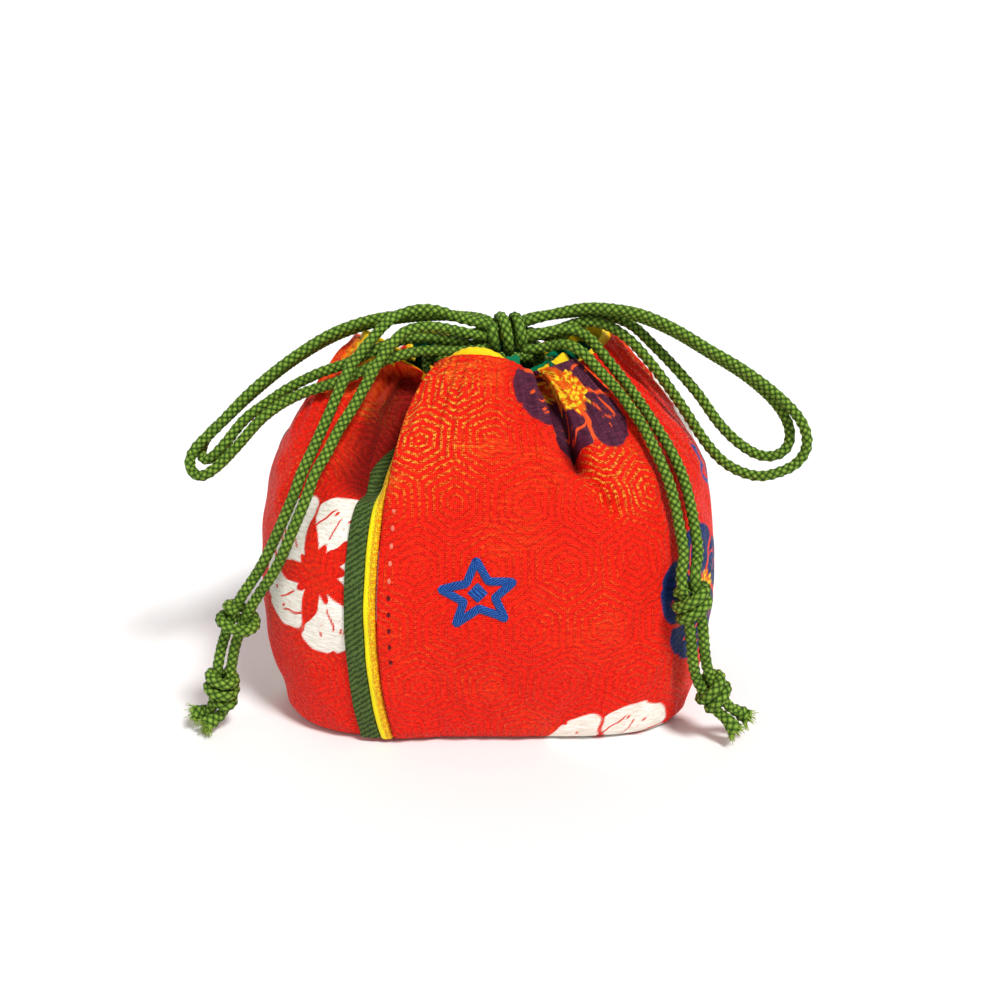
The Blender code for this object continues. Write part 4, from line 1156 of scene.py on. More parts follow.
@dataclass
class BrocadeBody:
    """The wrap of brocade, from its hem under the base to the rim, with its free edge lapped at the front."""

    drape: Drape
    pitch: float = 0.6
    thickness: float = 0.9
    gap: float = 0.3
    hem_turn: float = 3.6
    hem_round: float = 2.4

    def columns(self) -> np.ndarray:
        """Positions of the columns, from the free edge once round to just before it, with every crease among them."""
        stops = [self.drape.seam, *range(1, 7), 6 + self.drape.seam - self.drape.step]
        columns = []
        for start, end in zip(stops, stops[1:]):
            count = max(6, round((end - start) * 50 / self.pitch))
            columns.append(np.linspace(start, end, count, endpoint=False))
        return np.append(np.concatenate(columns), stops[-1])

    def rows(self, position: np.ndarray) -> tuple[np.ndarray, np.ndarray]:
        """Rows of points from the hem to inside the rim, and the level of each row."""
        lap = self.drape.lapped(position, np.zeros_like(position))
        azimuth, radius, _ = self.drape.form.wall(position, np.zeros_like(position))
        hem = []
        for inset in (self.hem_turn, 3.0, self.hem_round):
            hem.append(placed(azimuth, radius - inset + lap, self.gap))
        start = self.drape.surface(position, np.full_like(position, 0.06))
        start = start + self.outward(azimuth) * lap[:, None]
        foot = hem[-1]
        corner = placed(azimuth, radius - 0.1 + lap, self.gap + 0.1)
        hem_levels = [0.0, 0.0, 0.0]
        for share in np.linspace(0.12, 0.9, 7):
            hem.append(foot * (1 - share) ** 2 + corner * 2 * share * (1 - share) + start * share ** 2)
            hem_levels.append(0.05 * share)
        wall = np.linspace(0.06, 1.0, 84)
        gather = np.linspace(1.0, 2.0, 74)[1:]
        levels = np.concatenate([wall, gather])
        grid_position, grid_level = np.meshgrid(position, levels)
        body = self.drape.surface(grid_position, grid_level, self.drape.lapped(grid_position, grid_level))
        top = np.full_like(position, 2.0)
        turned = []
        for offset, lift in ((-0.12, 0.22), (-0.45, 0.34), (-0.78, 0.22), (-0.9, 0.0)):
            edge = self.drape.surface(position, top, offset)
            edge[:, 2] += lift
            turned.append(edge)
        for level in (1.97, 1.93, 1.88):
            turned.append(self.drape.surface(position, np.full_like(position, level), -self.thickness))
        rows = np.concatenate([np.array(hem), body, np.array(turned)])
        return rows, np.concatenate([hem_levels, levels, [2.0] * 4, [1.97, 1.93, 1.88]])

    @staticmethod
    def outward(azimuth: np.ndarray) -> np.ndarray:
        """Level unit vectors away from the middle."""
        return placed(azimuth, np.ones_like(azimuth), np.zeros_like(azimuth))

    def cloth_places(self, position: np.ndarray, rows: np.ndarray, levels: np.ndarray,
                     ) -> tuple[np.ndarray, np.ndarray]:
        """Cloth coordinates of the grid.

        Below the shoulder the weft runs unbroken round the body. Above it the cloth that the creases
        swallow is left out, so each lobe keeps the pattern's own size.

        Args:
            position: position of each column.
            rows: points of each row.
            levels: level of each row.

        Returns:
            UV of each vertex for the quads to its right, and UV at their right ends.
        """
        fine = np.linspace(self.drape.seam, self.drape.seam + 6, 1200)
        belly = self.drape.form.outside(fine, np.full_like(fine, 0.55))
        reach = reach_along(belly)
        flat = np.interp(position, fine, reach)
        steps = np.linalg.norm(np.diff(rows, axis=1), axis=2)
        arcs = np.concatenate([np.zeros((len(rows), 1)), np.cumsum(steps, axis=1)], axis=1)
        lobes = np.minimum(np.floor(position), 6)
        share = smooth((levels - 0.95) / 0.3)[:, None]
        left = np.zeros((*rows.shape[:2], 2))
        right = np.zeros_like(left)
        climbs = np.linalg.norm(np.diff(rows, axis=0), axis=2)
        climb = np.concatenate([np.zeros((1, rows.shape[1])), np.cumsum(climbs, axis=0)])
        climb = climb - climb[9:10]
        for lobe in np.unique(lobes):
            own = np.flatnonzero(lobes == lobe)
            span = np.append(own, own[-1] + 1) if own[-1] + 1 < len(position) else own
            centre = np.clip(lobe + 0.5, position[0], position[-1])
            middle = np.array([np.interp(centre, position, row) for row in arcs])[:, None]
            here = np.interp(centre, position, flat) + (arcs[:, span] - middle)
            mixed = flat[span] + (here - flat[span]) * share
            left[:, own, 0] = mixed[:, :len(own)]
            right[:, own[:len(span) - 1], 0] = mixed[:, 1:]
        left[:, -1, 0], right[:, -1, 0] = -0.8, 0.0
        left[..., 1] = climb
        right[..., 1] = np.roll(climb, -1, axis=1)
        return left, right

    def build(self) -> bpy.types.Object:
        """The dense cloth, in place of the plain solid."""
        position = self.columns()
        rows, levels = self.rows(position)
        left, right = self.cloth_places(position, rows, levels)
        count = rows.shape[:2]
        maps = {"cloth": grid_corners(left, right), "OFBake": spread_map(*count, True, 1)}
        piece = new_piece("brocade_wrap", rows.reshape(-1, 3), grid_faces(*count, True), maps)
        # Painted shade mask: how deep each point lies in a fold, from 0 to 1, for darkening the cloth's colour there.
        painted_fold_shade_mask = piece.data.attributes.new("painted_fold_shade_mask", "FLOAT", "POINT")
        depth = -self.drape.relief(position[None, :], np.clip(levels, 0.06, 2.0)[:, None])
        painted_fold_shade_mask.data.foreach_set("value", smooth((depth - 1.2) / 4.5).ravel().astype(np.float32))
        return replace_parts(piece, "brocade_body")


@dataclass
class InnerCloths:
    """Yellow edge inside the rim, and the satin lining below it."""

    drape: Drape
    facing_offset: float = 1.2
    facing: float = 0.6
    shows: float = 1.3
    lining_offset: float = 1.8
    tuck: tuple[float, float, float] = (0.96, 0.26, 5.5)

    def strip(self, name: str, position: np.ndarray, rows: list[np.ndarray]) -> bpy.types.Object:
        """A closed band of cloth through rows of points."""
        grid = np.array(rows)
        steps = np.linalg.norm(np.diff(grid, axis=0), axis=2)
        climb = np.concatenate([np.zeros((1, grid.shape[1])), np.cumsum(steps, axis=0)])
        flat = np.broadcast_to(position * 45.0, climb.shape)
        left = np.stack([flat, climb], axis=-1)
        ahead = np.broadcast_to(np.append(position[1:], position[0] + 6) * 45.0, climb.shape)
        right = np.stack([ahead, np.roll(climb, -1, axis=1)], axis=-1)
        maps = {"cloth": grid_corners(left, right), "OFBake": spread_map(*grid.shape[:2], True, 1)}
        return new_piece(name, grid.reshape(-1, 3), grid_faces(*grid.shape[:2], True), maps)

    def build_facing(self) -> bpy.types.Object:
        """The yellow edge, folded over at its top."""
        position = np.linspace(0, 6, 420, endpoint=False)
        rows = []
        shows = self.shows + 1.1 * np.sin(np.pi * np.mod(position, 1)) ** 2
        top = self.drape.surface(position, np.full_like(position, 2.0), -self.facing_offset)
        below = self.drape.surface(position, np.full_like(position, 1.94), -self.facing_offset)
        way = (top - below) / np.linalg.norm(top - below, axis=1, keepdims=True)
        for level in (1.8, 1.86, 1.92, 1.96):
            rows.append(self.drape.surface(position, np.full_like(position, level), -self.facing_offset))
        for share in (0.0, 0.35, 0.7, 0.92):
            rows.append(top + way * (shows * share)[:, None])
        inner = self.drape.surface(position, np.full_like(position, 2.0), -self.facing_offset - self.facing)
        rows.append((top + inner) / 2 + way * (shows * 1.05)[:, None])
        for share in (0.92, 0.5, 0.0):
            rows.append(inner + way * (shows * share)[:, None])
        for level in (1.94, 1.86, 1.8):
            offset = -self.facing_offset - self.facing
            rows.append(self.drape.surface(position, np.full_like(position, level), offset))
        piece = self.strip("mouth_edge", position, rows)
        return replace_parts(piece, "mouth_facing")

    def build_lining(self) -> bpy.types.Object:
        """The satin bag inside the brocade, with its inner face gathered at the mouth."""
        position = np.linspace(0, 6, 420, endpoint=False)
        form = self.drape.form
        azimuth, radius, _ = form.wall(position, np.zeros_like(position))
        rows = [placed(azimuth, (radius - 6.6) * share, 2.5) for share in (0.02, 0.3, 0.6, 0.85, 1.0)]
        levels = np.concatenate([np.linspace(0.14, 1.0, 18), np.linspace(1.04, 1.93, 34)])
        for level in levels:
            gather = 0.5 * smooth((np.array(level) - 1.3) / 0.5) * (0.5 + 0.5 * np.sin(position * 31))
            offset = -self.lining_offset - 0.5 - gather - 0.35 * smooth((np.array(level) - 1.6) / 0.2)
            rows.append(self.drape.surface(position, np.full_like(position, level), offset))
        away = np.mod(position - self.tuck[0] + 3, 6) - 3
        rise = self.tuck[2] * np.exp(-(away / self.tuck[1]) ** 2)
        for share in (0.4, 0.8, 1.0):
            rows.append(rows[-1] + np.array((0.0, -0.12, 1.0)) * (rise * share / 2.2)[:, None])
        piece = self.strip("satin_lining", position, rows)
        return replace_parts(piece, "lining")


@dataclass
class SeamTrims:
    """The rolled yellow edge and the green band beside the free edge."""

    drape: Drape
    gap: float = 0.3
    yellow_width: float = 2.6
    yellow_rise: float = 0.9
    yellow_top: float = 1.94
    green_width: float = 4.2
    green_rise: float = 0.7
    green_top: float = 1.65
    rows: int = 220

    def band(self, name: str, start: float, width: float, rise: float, top: float, roundness: float,
             narrows: float, taper: float) -> bpy.types.Object:
        """One band beside the free edge.

        Args:
            name: name of the piece.
            start: distance of its right edge from the free edge.
            width: width of the band.
            rise: thickness of the band.
            top: level that it ends at.
            roundness: how round its section is, from 0 flat to 1 rolled.
            narrows: share of its width that it loses at its top.
            taper: levels below its top over which it loses that.

        Returns:
            The band.
        """
        levels = np.linspace(0.03, top, self.rows)
        pace = self.drape.pace(self.drape.seam, levels)
        share = np.linspace(1, 0, 17)
        lost = 1 - narrows * smooth((levels - (top - taper)) / taper)
        across = np.stack([start + width * share * kept for kept in lost])
        position = self.drape.seam - self.drape.step - across / pace[:, None]
        edge = np.sqrt(np.clip(1 - np.abs(2 * share - 1) ** (2.2 if roundness > 0.5 else 6), 0, 1))
        level = np.broadcast_to(levels[:, None], position.shape)
        offset = self.gap * 0.4 + rise * (0.25 + 0.75 * edge[None, :]) * np.ones_like(position)
        offset[:, [0, -1]] = 0.05
        points = self.drape.surface(position, level, offset)
        climb = reach_along(points[:, 8])
        flat = np.stack(np.broadcast_arrays((1 - share)[None, :] * width, climb[:, None]), axis=-1)
        maps = {"cloth": grid_corners(flat[:, :-1], flat[:, 1:]),
                "OFBake": spread_map(*points.shape[:2], False, 4)}
        return new_piece(name, points.reshape(-1, 3), grid_faces(*points.shape[:2], False), maps)

    def build_yellow(self) -> bpy.types.Object:
        """The rolled yellow edge."""
        piece = self.band("yellow_welt", self.gap * 0.4, self.yellow_width, self.yellow_rise, self.yellow_top,
                          roundness=1.0, narrows=0.25, taper=0.45)
        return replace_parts(piece, "yellow_band")

    def build_green(self) -> bpy.types.Object:
        """The green band, which narrows into the fold above the shoulder."""
        start = self.yellow_width + 0.4 * self.gap
        piece = self.band("green_twill_band", start, self.green_width, self.green_rise, self.green_top,
                          roundness=0.2, narrows=0.7, taper=0.55)
        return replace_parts(piece, "green_band")


@dataclass
class RaisedThreads:
    """Motifs and stitches that stand up from the brocade: the front bellflower and the row beside the edge."""

    drape: Drape
    star: tuple[tuple[float, float], ...] = (
        (20.0, 40.9), (22.4, 36.7), (27.6, 36.4), (23.8, 33.2), (25.8, 28.8), (20.6, 31.0), (15.9, 27.6),
        (17.5, 32.4), (12.8, 34.8), (18.0, 36.2),
    )
    centre: tuple[float, float] = (20.3, 34.2)
    width: float = 1.85
    rise: float = 0.5
    stitch_pitch: float = 3.5
    stitch_length: float = 1.15
    stitch_inset: float = 2.4

    def on_cloth(self, places: np.ndarray, rise: np.ndarray | float) -> np.ndarray:
        """Points over the brocade at cloth coordinates below the shoulder.

        Args:
            places: millimetres along the weft and up the warp.
            rise: height over the cloth in millimetres.

        Returns:
            Points in millimetres.
        """
        fine = np.linspace(self.drape.seam, self.drape.seam + 2, 800)
        belly = self.drape.form.outside(fine, np.full_like(fine, 0.55))
        reach = reach_along(belly)
        position = np.interp(places[..., 0], reach, fine)
        levels = np.linspace(0.06, 1.0, 60)
        column = self.drape.form.outside(np.full_like(levels, 0.5), levels)
        climb = reach_along(column)
        level = np.interp(places[..., 1], climb, levels)
        lap = self.drape.lapped(position, level)
        return self.drape.surface(position, level, lap + rise)

    def ribbon(self, line: np.ndarray, width: np.ndarray, closed: bool) -> tuple[np.ndarray, np.ndarray, np.ndarray]:
        """A low rounded ridge of thread along a line on the cloth.

        Args:
            line: cloth coordinates of its middle.
            width: width at each point.
            closed: whether its end joins its start.

        Returns:
            Vertices, quads and UV corners.
        """
        around = np.vstack([line[-1:], line, line[:1]]) if closed else np.vstack([line[:1], line, line[-1:]])
        ahead = around[2:] - around[:-2]
        ahead /= np.linalg.norm(ahead, axis=1, keepdims=True)
        side = np.stack([ahead[:, 1], -ahead[:, 0]], axis=1)
        share = np.linspace(-1, 1, 9)
        places = line[:, None, :] + side[:, None, :] * (share[None, :, None] * width[:, None, None] / 2)
        height = np.sqrt(np.clip(1 - share ** 2, 0, 1)) * self.rise * np.minimum(1, width / self.width)[:, None]
        points = self.on_cloth(places, height - 0.06)
        reach = reach_along(line)
        flat = np.stack(np.broadcast_arrays(reach[:, None], share[None, :] * self.width / 2), axis=-1)
        count = len(line)
        faces = grid_faces(count, len(share), False)
        corners = grid_corners(flat[:, :-1], flat[:, 1:])
        if closed:
            low, cells = (count - 1) * len(share), np.arange(len(share) - 1)
            last = np.stack([low + cells, low + cells + 1, cells + 1, cells], axis=1)
            faces = np.vstack([faces, last])
            corners = np.vstack([corners, np.tile(flat[-1, 0], (4 * len(cells), 1))])
        return points.reshape(-1, 3), faces, corners

    def build_star(self) -> bpy.types.Object:
        """The blue bellflower, outlined in raised threads, with its middle."""
        corners = np.array([*self.star, self.star[0]])
        sides = []
        for start, end in zip(corners, corners[1:]):
            sides.append(start + (end - start) * np.linspace(0, 1, 26, endpoint=False)[:, None])
        line = np.vstack(sides)
        for _ in range(3):
            line = (np.roll(line, 1, axis=0) + 2 * line + np.roll(line, -1, axis=0)) / 4
        parts = [self.ribbon(line, np.full(len(line), self.width), True)]
        tall = np.linspace(-1, 1, 15)
        middle = np.array(self.centre) + np.stack([np.zeros_like(tall), 2.1 * tall], axis=1)
        parts.append(self.ribbon(middle, 4.2 * (1 - np.abs(tall)) + 0.25, False))
        return self.joined("bellflower_threads", parts)

    def build_stitches(self) -> tuple[bpy.types.Object, bpy.types.Object]:
        """The row of stitches beside the free edge: pale above and dark below."""
        parts = {"pale": [], "dark": []}
        for index in range(10):
            start = 18.5 + index * self.stitch_pitch
            share = np.linspace(0, 1, 9)
            line = np.stack([np.full_like(share, self.stitch_inset), start + self.stitch_length * share], axis=1)
            width = 0.85 * np.sin(np.pi * np.clip(share, 0.04, 0.96)) ** 0.5
            parts["dark" if start < 36 else "pale"].append(self.ribbon(line, width, False))
        return self.joined("dark_stitches", parts["dark"]), self.joined("pale_stitches", parts["pale"])

    @staticmethod
    def joined(name: str, parts: list[tuple[np.ndarray, np.ndarray, np.ndarray]]) -> bpy.types.Object:
        """One piece from several ridges."""
        points, faces, corners, count = [], [], [], 0
        for vertices, quads, places in parts:
            points.append(vertices)
            faces.append(quads + count)
            corners.append(places)
            count += len(vertices)
        piece = new_piece(name, np.vstack(points), np.vstack(faces), {"cloth": np.vstack(corners)})
        return piece


# Cords

LEFT_LOOP_OUTER: Route = (
    (-7.0, -5.6, 85.8), (-12.5, -6.0, 86.6), (-18.9, -7.0, 86.3), (-25.2, -8.0, 85.5), (-33.4, -10.0, 82.9),
    (-42.4, -12.0, 77.5), (-50.7, -14.0, 71.0), (-58.1, -15.0, 63.6), (-62.6, -15.4, 59.4),
    (-64.2, -16.6, 55.9), (-61.9, -18.2, 53.5), (-57.6, -18.8, 56.1), (-52.9, -18.0, 60.8),
    (-48.3, -17.0, 65.8), (-43.8, -15.6, 69.0), (-38.7, -15.0, 71.4), (-32.2, -16.7, 73.8),
    (-25.8, -16.9, 76.6), (-20.6, -15.3, 78.8), (-14.0, -11.8, 79.6), (-7.6, -9.8, 79.2),
)
LEFT_LOOP_INNER: Route = (
    (-7.0, -2.6, 85.4), (-12.7, -2.9, 85.4), (-19.1, -3.7, 85.0), (-25.6, -4.7, 84.0), (-33.9, -6.7, 81.3),
    (-42.9, -8.8, 76.1), (-51.3, -11.0, 69.6), (-57.0, -11.6, 64.4), (-60.8, -11.2, 61.0),
    (-62.2, -13.4, 57.6), (-60.2, -16.2, 56.6), (-56.4, -16.8, 60.2), (-52.0, -15.2, 65.4),
    (-47.0, -13.2, 68.8), (-42.2, -12.6, 71.9), (-35.7, -13.8, 75.3), (-29.2, -15.6, 77.9),
    (-24.0, -14.0, 80.2), (-18.5, -10.4, 81.6), (-12.0, -7.4, 81.5), (-6.8, -6.0, 80.2),
)
LEFT_TAIL_A: Route = (
    (-6.0, -9.2, 86.2), (-11.4, -10.6, 88.2), (-16.2, -11.8, 88.2), (-20.9, -13.8, 86.3), (-24.4, -16.6, 82.8),
    (-27.8, -19.2, 78.9), (-30.2, -22.0, 74.6), (-32.4, -24.8, 69.7), (-34.9, -27.4, 64.4),
    (-37.8, -31.5, 58.6), (-39.3, -32.5, 54.7), (-42.9, -33.0, 46.7), (-47.2, -32.5, 38.2),
)
LEFT_TAIL_B: Route = (
    (-6.6, -11.2, 83.8), (-12.3, -13.6, 85.2), (-17.1, -15.4, 84.6), (-20.0, -17.4, 82.2), (-22.3, -19.6, 79.4),
    (-25.0, -22.4, 75.0), (-27.5, -24.9, 70.8), (-30.4, -28.0, 66.7), (-32.4, -30.9, 63.0),
    (-35.0, -33.6, 58.8), (-36.2, -34.7, 55.4), (-39.6, -35.5, 47.6), (-43.6, -34.5, 38.9),
)
RIGHT_LOOP_OUTER: Route = (
    (13.2, -6.0, 86.2), (20.4, -6.5, 87.8), (26.0, -7.0, 87.8), (32.8, -7.5, 86.7), (40.1, -8.0, 83.6),
    (47.7, -9.0, 79.2), (55.1, -10.0, 75.0), (62.5, -11.0, 69.6), (67.7, -12.0, 64.2), (69.2, -12.8, 59.2),
    (67.3, -13.0, 55.1), (63.3, -13.0, 52.9), (59.1, -12.6, 51.9), (54.6, -11.4, 52.9), (50.7, -10.2, 55.3),
    (46.9, -8.8, 59.7), (43.4, -7.4, 64.9), (39.6, -6.2, 70.2), (35.2, -5.2, 75.8), (30.2, -4.6, 81.0),
    (24.6, -4.8, 84.2), (19.4, -5.2, 84.4), (14.2, -5.5, 82.6),
)
RIGHT_LOOP_INNER: Route = (
    (13.3, -2.8, 85.6), (20.6, -3.2, 86.4), (26.2, -3.6, 86.6), (33.2, -4.2, 85.2), (40.6, -5.0, 82.1),
    (48.2, -6.0, 77.7), (55.7, -7.0, 73.2), (62.0, -8.2, 68.0), (65.4, -9.2, 63.2), (66.0, -9.8, 59.2),
    (64.8, -10.0, 56.8), (62.2, -9.9, 55.6), (58.8, -9.2, 56.0), (54.4, -8.2, 58.8), (50.4, -7.0, 62.8),
    (46.1, -5.5, 68.6), (41.0, -4.0, 74.2), (36.2, -2.4, 78.9), (31.0, -1.2, 83.4), (25.4, -1.4, 84.9),
    (20.3, -2.0, 83.2), (14.6, -2.6, 80.6),
)
RIGHT_TAIL_A: Route = (
    (13.0, -9.4, 80.0), (16.6, -11.4, 81.0), (20.2, -13.9, 79.6), (23.6, -14.4, 75.9), (26.1, -16.0, 73.6),
    (28.3, -18.2, 71.3), (30.2, -20.7, 68.9), (32.0, -22.9, 66.7), (34.4, -26.8, 62.4), (36.7, -29.6, 57.7),
    (38.2, -31.4, 53.2), (39.5, -34.0, 47.0), (40.2, -36.4, 42.4),
)
RIGHT_TAIL_B: Route = (
    (12.6, -8.8, 83.0), (16.6, -8.6, 83.8), (20.6, -8.6, 82.6), (23.8, -9.0, 79.4), (27.2, -10.6, 75.4),
    (29.9, -13.0, 72.3), (32.4, -16.6, 69.3), (35.0, -20.8, 65.9), (37.7, -24.2, 62.0), (40.0, -26.8, 57.7),
    (41.5, -28.8, 53.2), (42.8, -32.6, 46.6), (43.2, -35.6, 42.4),
)
LEFT_TUFT_A: Route = ((-61.4, -30.8, 4.4), (-63.8, -30.8, 3.6))
LEFT_TUFT_B: Route = ((-59.0, -32.8, 3.4), (-60.8, -34.2, 2.6))
RIGHT_TUFT_A: Route = ((50.4, -38.0, 6.4), (52.4, -39.0, 3.8))
RIGHT_TUFT_B: Route = ((52.6, -35.8, 7.2), (55.4, -35.4, 5.2))
LEFT_RUN_START: Route = ((-8.0, -2.8, 80.2), (-13.0, -2.2, 76.4))
LEFT_RUN_END: Route = ((-12.4, 1.8, 76.0), (-7.6, 0.0, 78.2))
RIGHT_RUN_START: Route = ((11.2, 0.6, 78.0), (11.0, 2.4, 74.6), (11.8, 3.0, 70.8))
RIGHT_RUN_END: Route = ((11.8, -2.4, 70.8), (11.2, -1.8, 74.6), (11.2, -3.6, 77.4))


@dataclass(frozen=True)
class Knot:
    """A knot of wound cord.

    Attributes:
        name: CAD node that it stands for.
        centre: middle in millimetres.
        along: the way that the cord runs through it.
        length: length along that way in millimetres.
        radius: outer radius in millimetres.
        turns: turns of the winding.
        slant: how far the winding leans over its radius.
        lean: direction of that lean, in degrees round the way through.
    """

    name: str
    centre: tuple[float, float, float]
    along: tuple[float, float, float]
    length: float
    radius: float
    turns: float
    slant: float
    lean: float

    def frame(self) -> tuple[np.ndarray, np.ndarray, np.ndarray]:
        """Unit vectors along, across and over the knot, as the part's own strands use them."""
        along = np.array(self.along) / np.linalg.norm(self.along)
        across = np.array((0.0, 1.0, 0.0))
        return along, across, np.cross(along, across)

    def place(self, end: int, sideways: float = 0.0, upwards: float = 0.0) -> np.ndarray:
        """Where a strand meets the knot: end is -1 where the cord comes in and 1 where it goes out."""
        along, across, over = self.frame()
        reach = along * end * (self.length / 2 + 0.7)
        return np.array(self.centre) + reach + (across * sideways + over * upwards) * 3.16

    def strand(self, end: int, sideways: float, upwards: float) -> list[np.ndarray]:
        """A strand's way out of the middle of the knot, past the place where it meets the air."""
        outer = self.place(end, sideways, upwards)
        along, _, _ = self.frame()
        middle = np.array(self.centre)
        aside = outer - middle - along * ((outer - middle) @ along)
        return [middle + along * end * 1.4 + aside * 0.35, outer - along * end * 1.2 - aside * 0.12]

    def winding(self, diameter: float) -> np.ndarray:
        """Line of the wound cord, which tucks in at both ends."""
        along, _, over = self.frame()
        side = np.cross(along, over)
        share = np.linspace(0, 1, 160)
        turned = 2 * np.pi * self.turns * (share - 0.5) + math.radians(self.lean)
        reach = self.radius - diameter / 2
        tuck = 1 - 0.62 * (1 - smooth(share / 0.12)) - 0.62 * (1 - smooth((1 - share) / 0.12))
        radius = reach * tuck * (0.94 + 0.06 * np.sin(np.pi * share))
        height = (self.length - diameter) * (share - 0.5)
        height = height + self.slant * radius * np.cos(turned - math.radians(self.lean))
        return (np.array(self.centre) + along * height[:, None]
                + over * (radius * np.cos(turned))[:, None] + side * (radius * np.sin(turned))[:, None])


BOW_KNOT = Knot("bow_knot", (3.7, -5.6, 82.0), (1.0, 0.0, 0.0), 10.4, 5.0, 2.6, 0.15, 90)
LEFT_UPPER = Knot("left_upper_knot", (-52.8, -31.5, 25.8), (-0.4, 0.0, -0.9), 7.0, 4.9, 1.7, 0.1, 80)
LEFT_LOWER = Knot("left_lower_knot", (-57.2, -31.5, 10.6), (-0.2, 0.0, -1.0), 9.6, 4.1, 2.6, 0.3, 20)
RIGHT_UPPER = Knot("right_upper_knot", (41.9, -39.0, 33.4), (0.2, 0.0, -1.0), 9.0, 4.4, 2.4, 0.3, 200)
RIGHT_LOWER = Knot("right_lower_knot", (47.3, -37.0, 12.2), (0.5, 0.0, -0.87), 8.0, 4.3, 2.1, 0.2, 200)


@dataclass
class CordWork:
    """Both drawcords: their runs inside the mouth, the bow, the tails, the knots and the frayed ends."""

    braid: Braid = field(default_factory=Braid)
    finish: bpy.types.Material | None = None
    ease: float = 1.2
    fibres: int = 70

    def lay_cord(self, name: str, points: list, nodes: tuple[str, ...],
                 swell: np.ndarray | None = None,
                 ) -> bpy.types.Object:
        """One cord.

        Args:
            name: name of the piece.
            points: route in millimetres.
            nodes: CAD nodes that it stands for.
            swell: end swell, as the length in millimetres and the size at the end.

        Returns:
            The cord.
        """
        line = smoothed_route(np.array(points, float), self.braid.ring, self.ease)
        length = float(np.linalg.norm(np.diff(line, axis=0), axis=1).sum())
        sizes = None
        if swell is not None:
            left = length - np.linspace(0, length, len(line))
            sizes = 1 + (swell[1] - 1) * smooth(1 - left / swell[0])
        vertices, faces, maps = self.braid.tube(line, sizes)
        piece = new_piece(name, vertices, faces, maps)
        self.dress(piece)
        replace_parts(piece, *nodes)
        LOG.info("%s: %.1f mm of cord", name, length)
        return piece

    def dress(self, piece: bpy.types.Object) -> None:
        """Gives a piece the braid's finish."""
        if self.finish is not None:
            piece.data.materials.append(self.finish)

    def build_fray(self, name: str, tuft: Route, seed: int) -> bpy.types.Object:
        """Loose fibres that stand out of the cut end of a cord.

        Args:
            name: name of the piece.
            tuft: the last two points of the cord's route.
            seed: choice of the fibres.

        Returns:
            The fibres, as one piece.
        """
        chosen = np.random.default_rng(seed)
        end = np.array(tuft[-1])
        ahead = (end - np.array(tuft[0])) / np.linalg.norm(end - np.array(tuft[0]))
        parts, faces, corners = [], [], []
        for index in range(self.fibres):
            aside = chosen.normal(0, 1, 3)
            aside = aside - ahead * (aside @ ahead)
            aside = aside / np.linalg.norm(aside)
            start = end - ahead * 0.7 + aside * chosen.uniform(0.3, 1.6)
            way = ahead + aside * chosen.uniform(0.1, 0.7) + chosen.normal(0, 0.2, 3)
            share = np.linspace(0, 1, 5)[:, None]
            reach = chosen.uniform(0.8, 1.7)
            line = start + way * reach * share + (aside * 0.5 - np.array((0.0, 0.0, 0.3))) * share ** 2
            line[:, 2] = np.maximum(line[:, 2], 0.3)
            sides, ups = turned_frames(line)
            turn = 2 * np.pi * np.arange(3) / 3
            radius = 0.16 * (1 - 0.6 * share[:, :, None])
            across, over = np.cos(turn)[:, None] * sides[:, None], np.sin(turn)[:, None] * ups[:, None]
            rings = line[:, None] + radius * (across + over)
            faces.append(grid_faces(5, 3, True) + 15 * index)
            parts.append(rings.reshape(-1, 3))
            corners.append(np.tile((0.25, 0.9), (48, 1)))
        piece = new_piece(name, np.vstack(parts), np.vstack(faces), {"cloth": np.vstack(corners)})
        self.dress(piece)
        return piece

    def build_knot(self, knot: Knot) -> bpy.types.Object:
        """A knot of wound cord, in place of its plain solid."""
        line = smoothed_route(knot.winding(self.braid.diameter), self.braid.ring, 0.5)
        vertices, faces, maps = self.braid.tube(line)
        piece = new_piece(knot.name + "_wound", vertices, faces, maps)
        self.dress(piece)
        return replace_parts(piece, knot.name)

    def run_ring(self, opening: float, drop: float) -> list[np.ndarray]:
        """A drawcord's way round the inside of the mouth, from one side of its opening to the other."""
        cloth = 0.9 + 0.3 + 0.6 + 0.3 + 1.25 + 0.4
        gap, steps = 26.0, 23
        turned = np.radians(opening + gap + (360.0 - 2 * gap) * np.arange(steps) / (steps - 1))
        radius = PouchForm.ring(turned, 40.0 - 2 * cloth, 29.0 - 2 * cloth, 2.0)
        return list(placed(turned, radius, np.full_like(turned, 73.4 - drop)))

    def build_runs(self) -> None:
        """The drawcord runs inside the mouth."""
        knot = BOW_KNOT
        left = [*knot.strand(-1, 1, 0), *LEFT_RUN_START, *self.run_ring(-90.0, 0.0), *LEFT_RUN_END,
                *knot.strand(-1, 1, -1)[::-1]]
        right = [*knot.strand(1, 1, -1), *RIGHT_RUN_START, *self.run_ring(90.0, 4.0), *RIGHT_RUN_END,
                 *knot.strand(1, 0, -1)[::-1]]
        self.lay_cord("left_run_braid", left, ("left_drawcord_run",))
        self.lay_cord("right_run_braid", right, ("right_drawcord_run",))

    def build_loops(self) -> None:
        """The two doubled loops of the bow."""
        for name, end, start, route, finish in (
            ("left_loop_outer", -1, (0, 1), LEFT_LOOP_OUTER, (-1, -1)),
            ("left_loop_inner", -1, (1, 1), LEFT_LOOP_INNER, (0, -1)),
            ("right_loop_outer", 1, (0, 1), RIGHT_LOOP_OUTER, (0, 0)),
            ("right_loop_inner", 1, (1, 1), RIGHT_LOOP_INNER, (1, 0)),
        ):
            points = [*BOW_KNOT.strand(end, *start), *route, *BOW_KNOT.strand(end, *finish)[::-1]]
            self.lay_cord(name + "_braid", points, (name,))

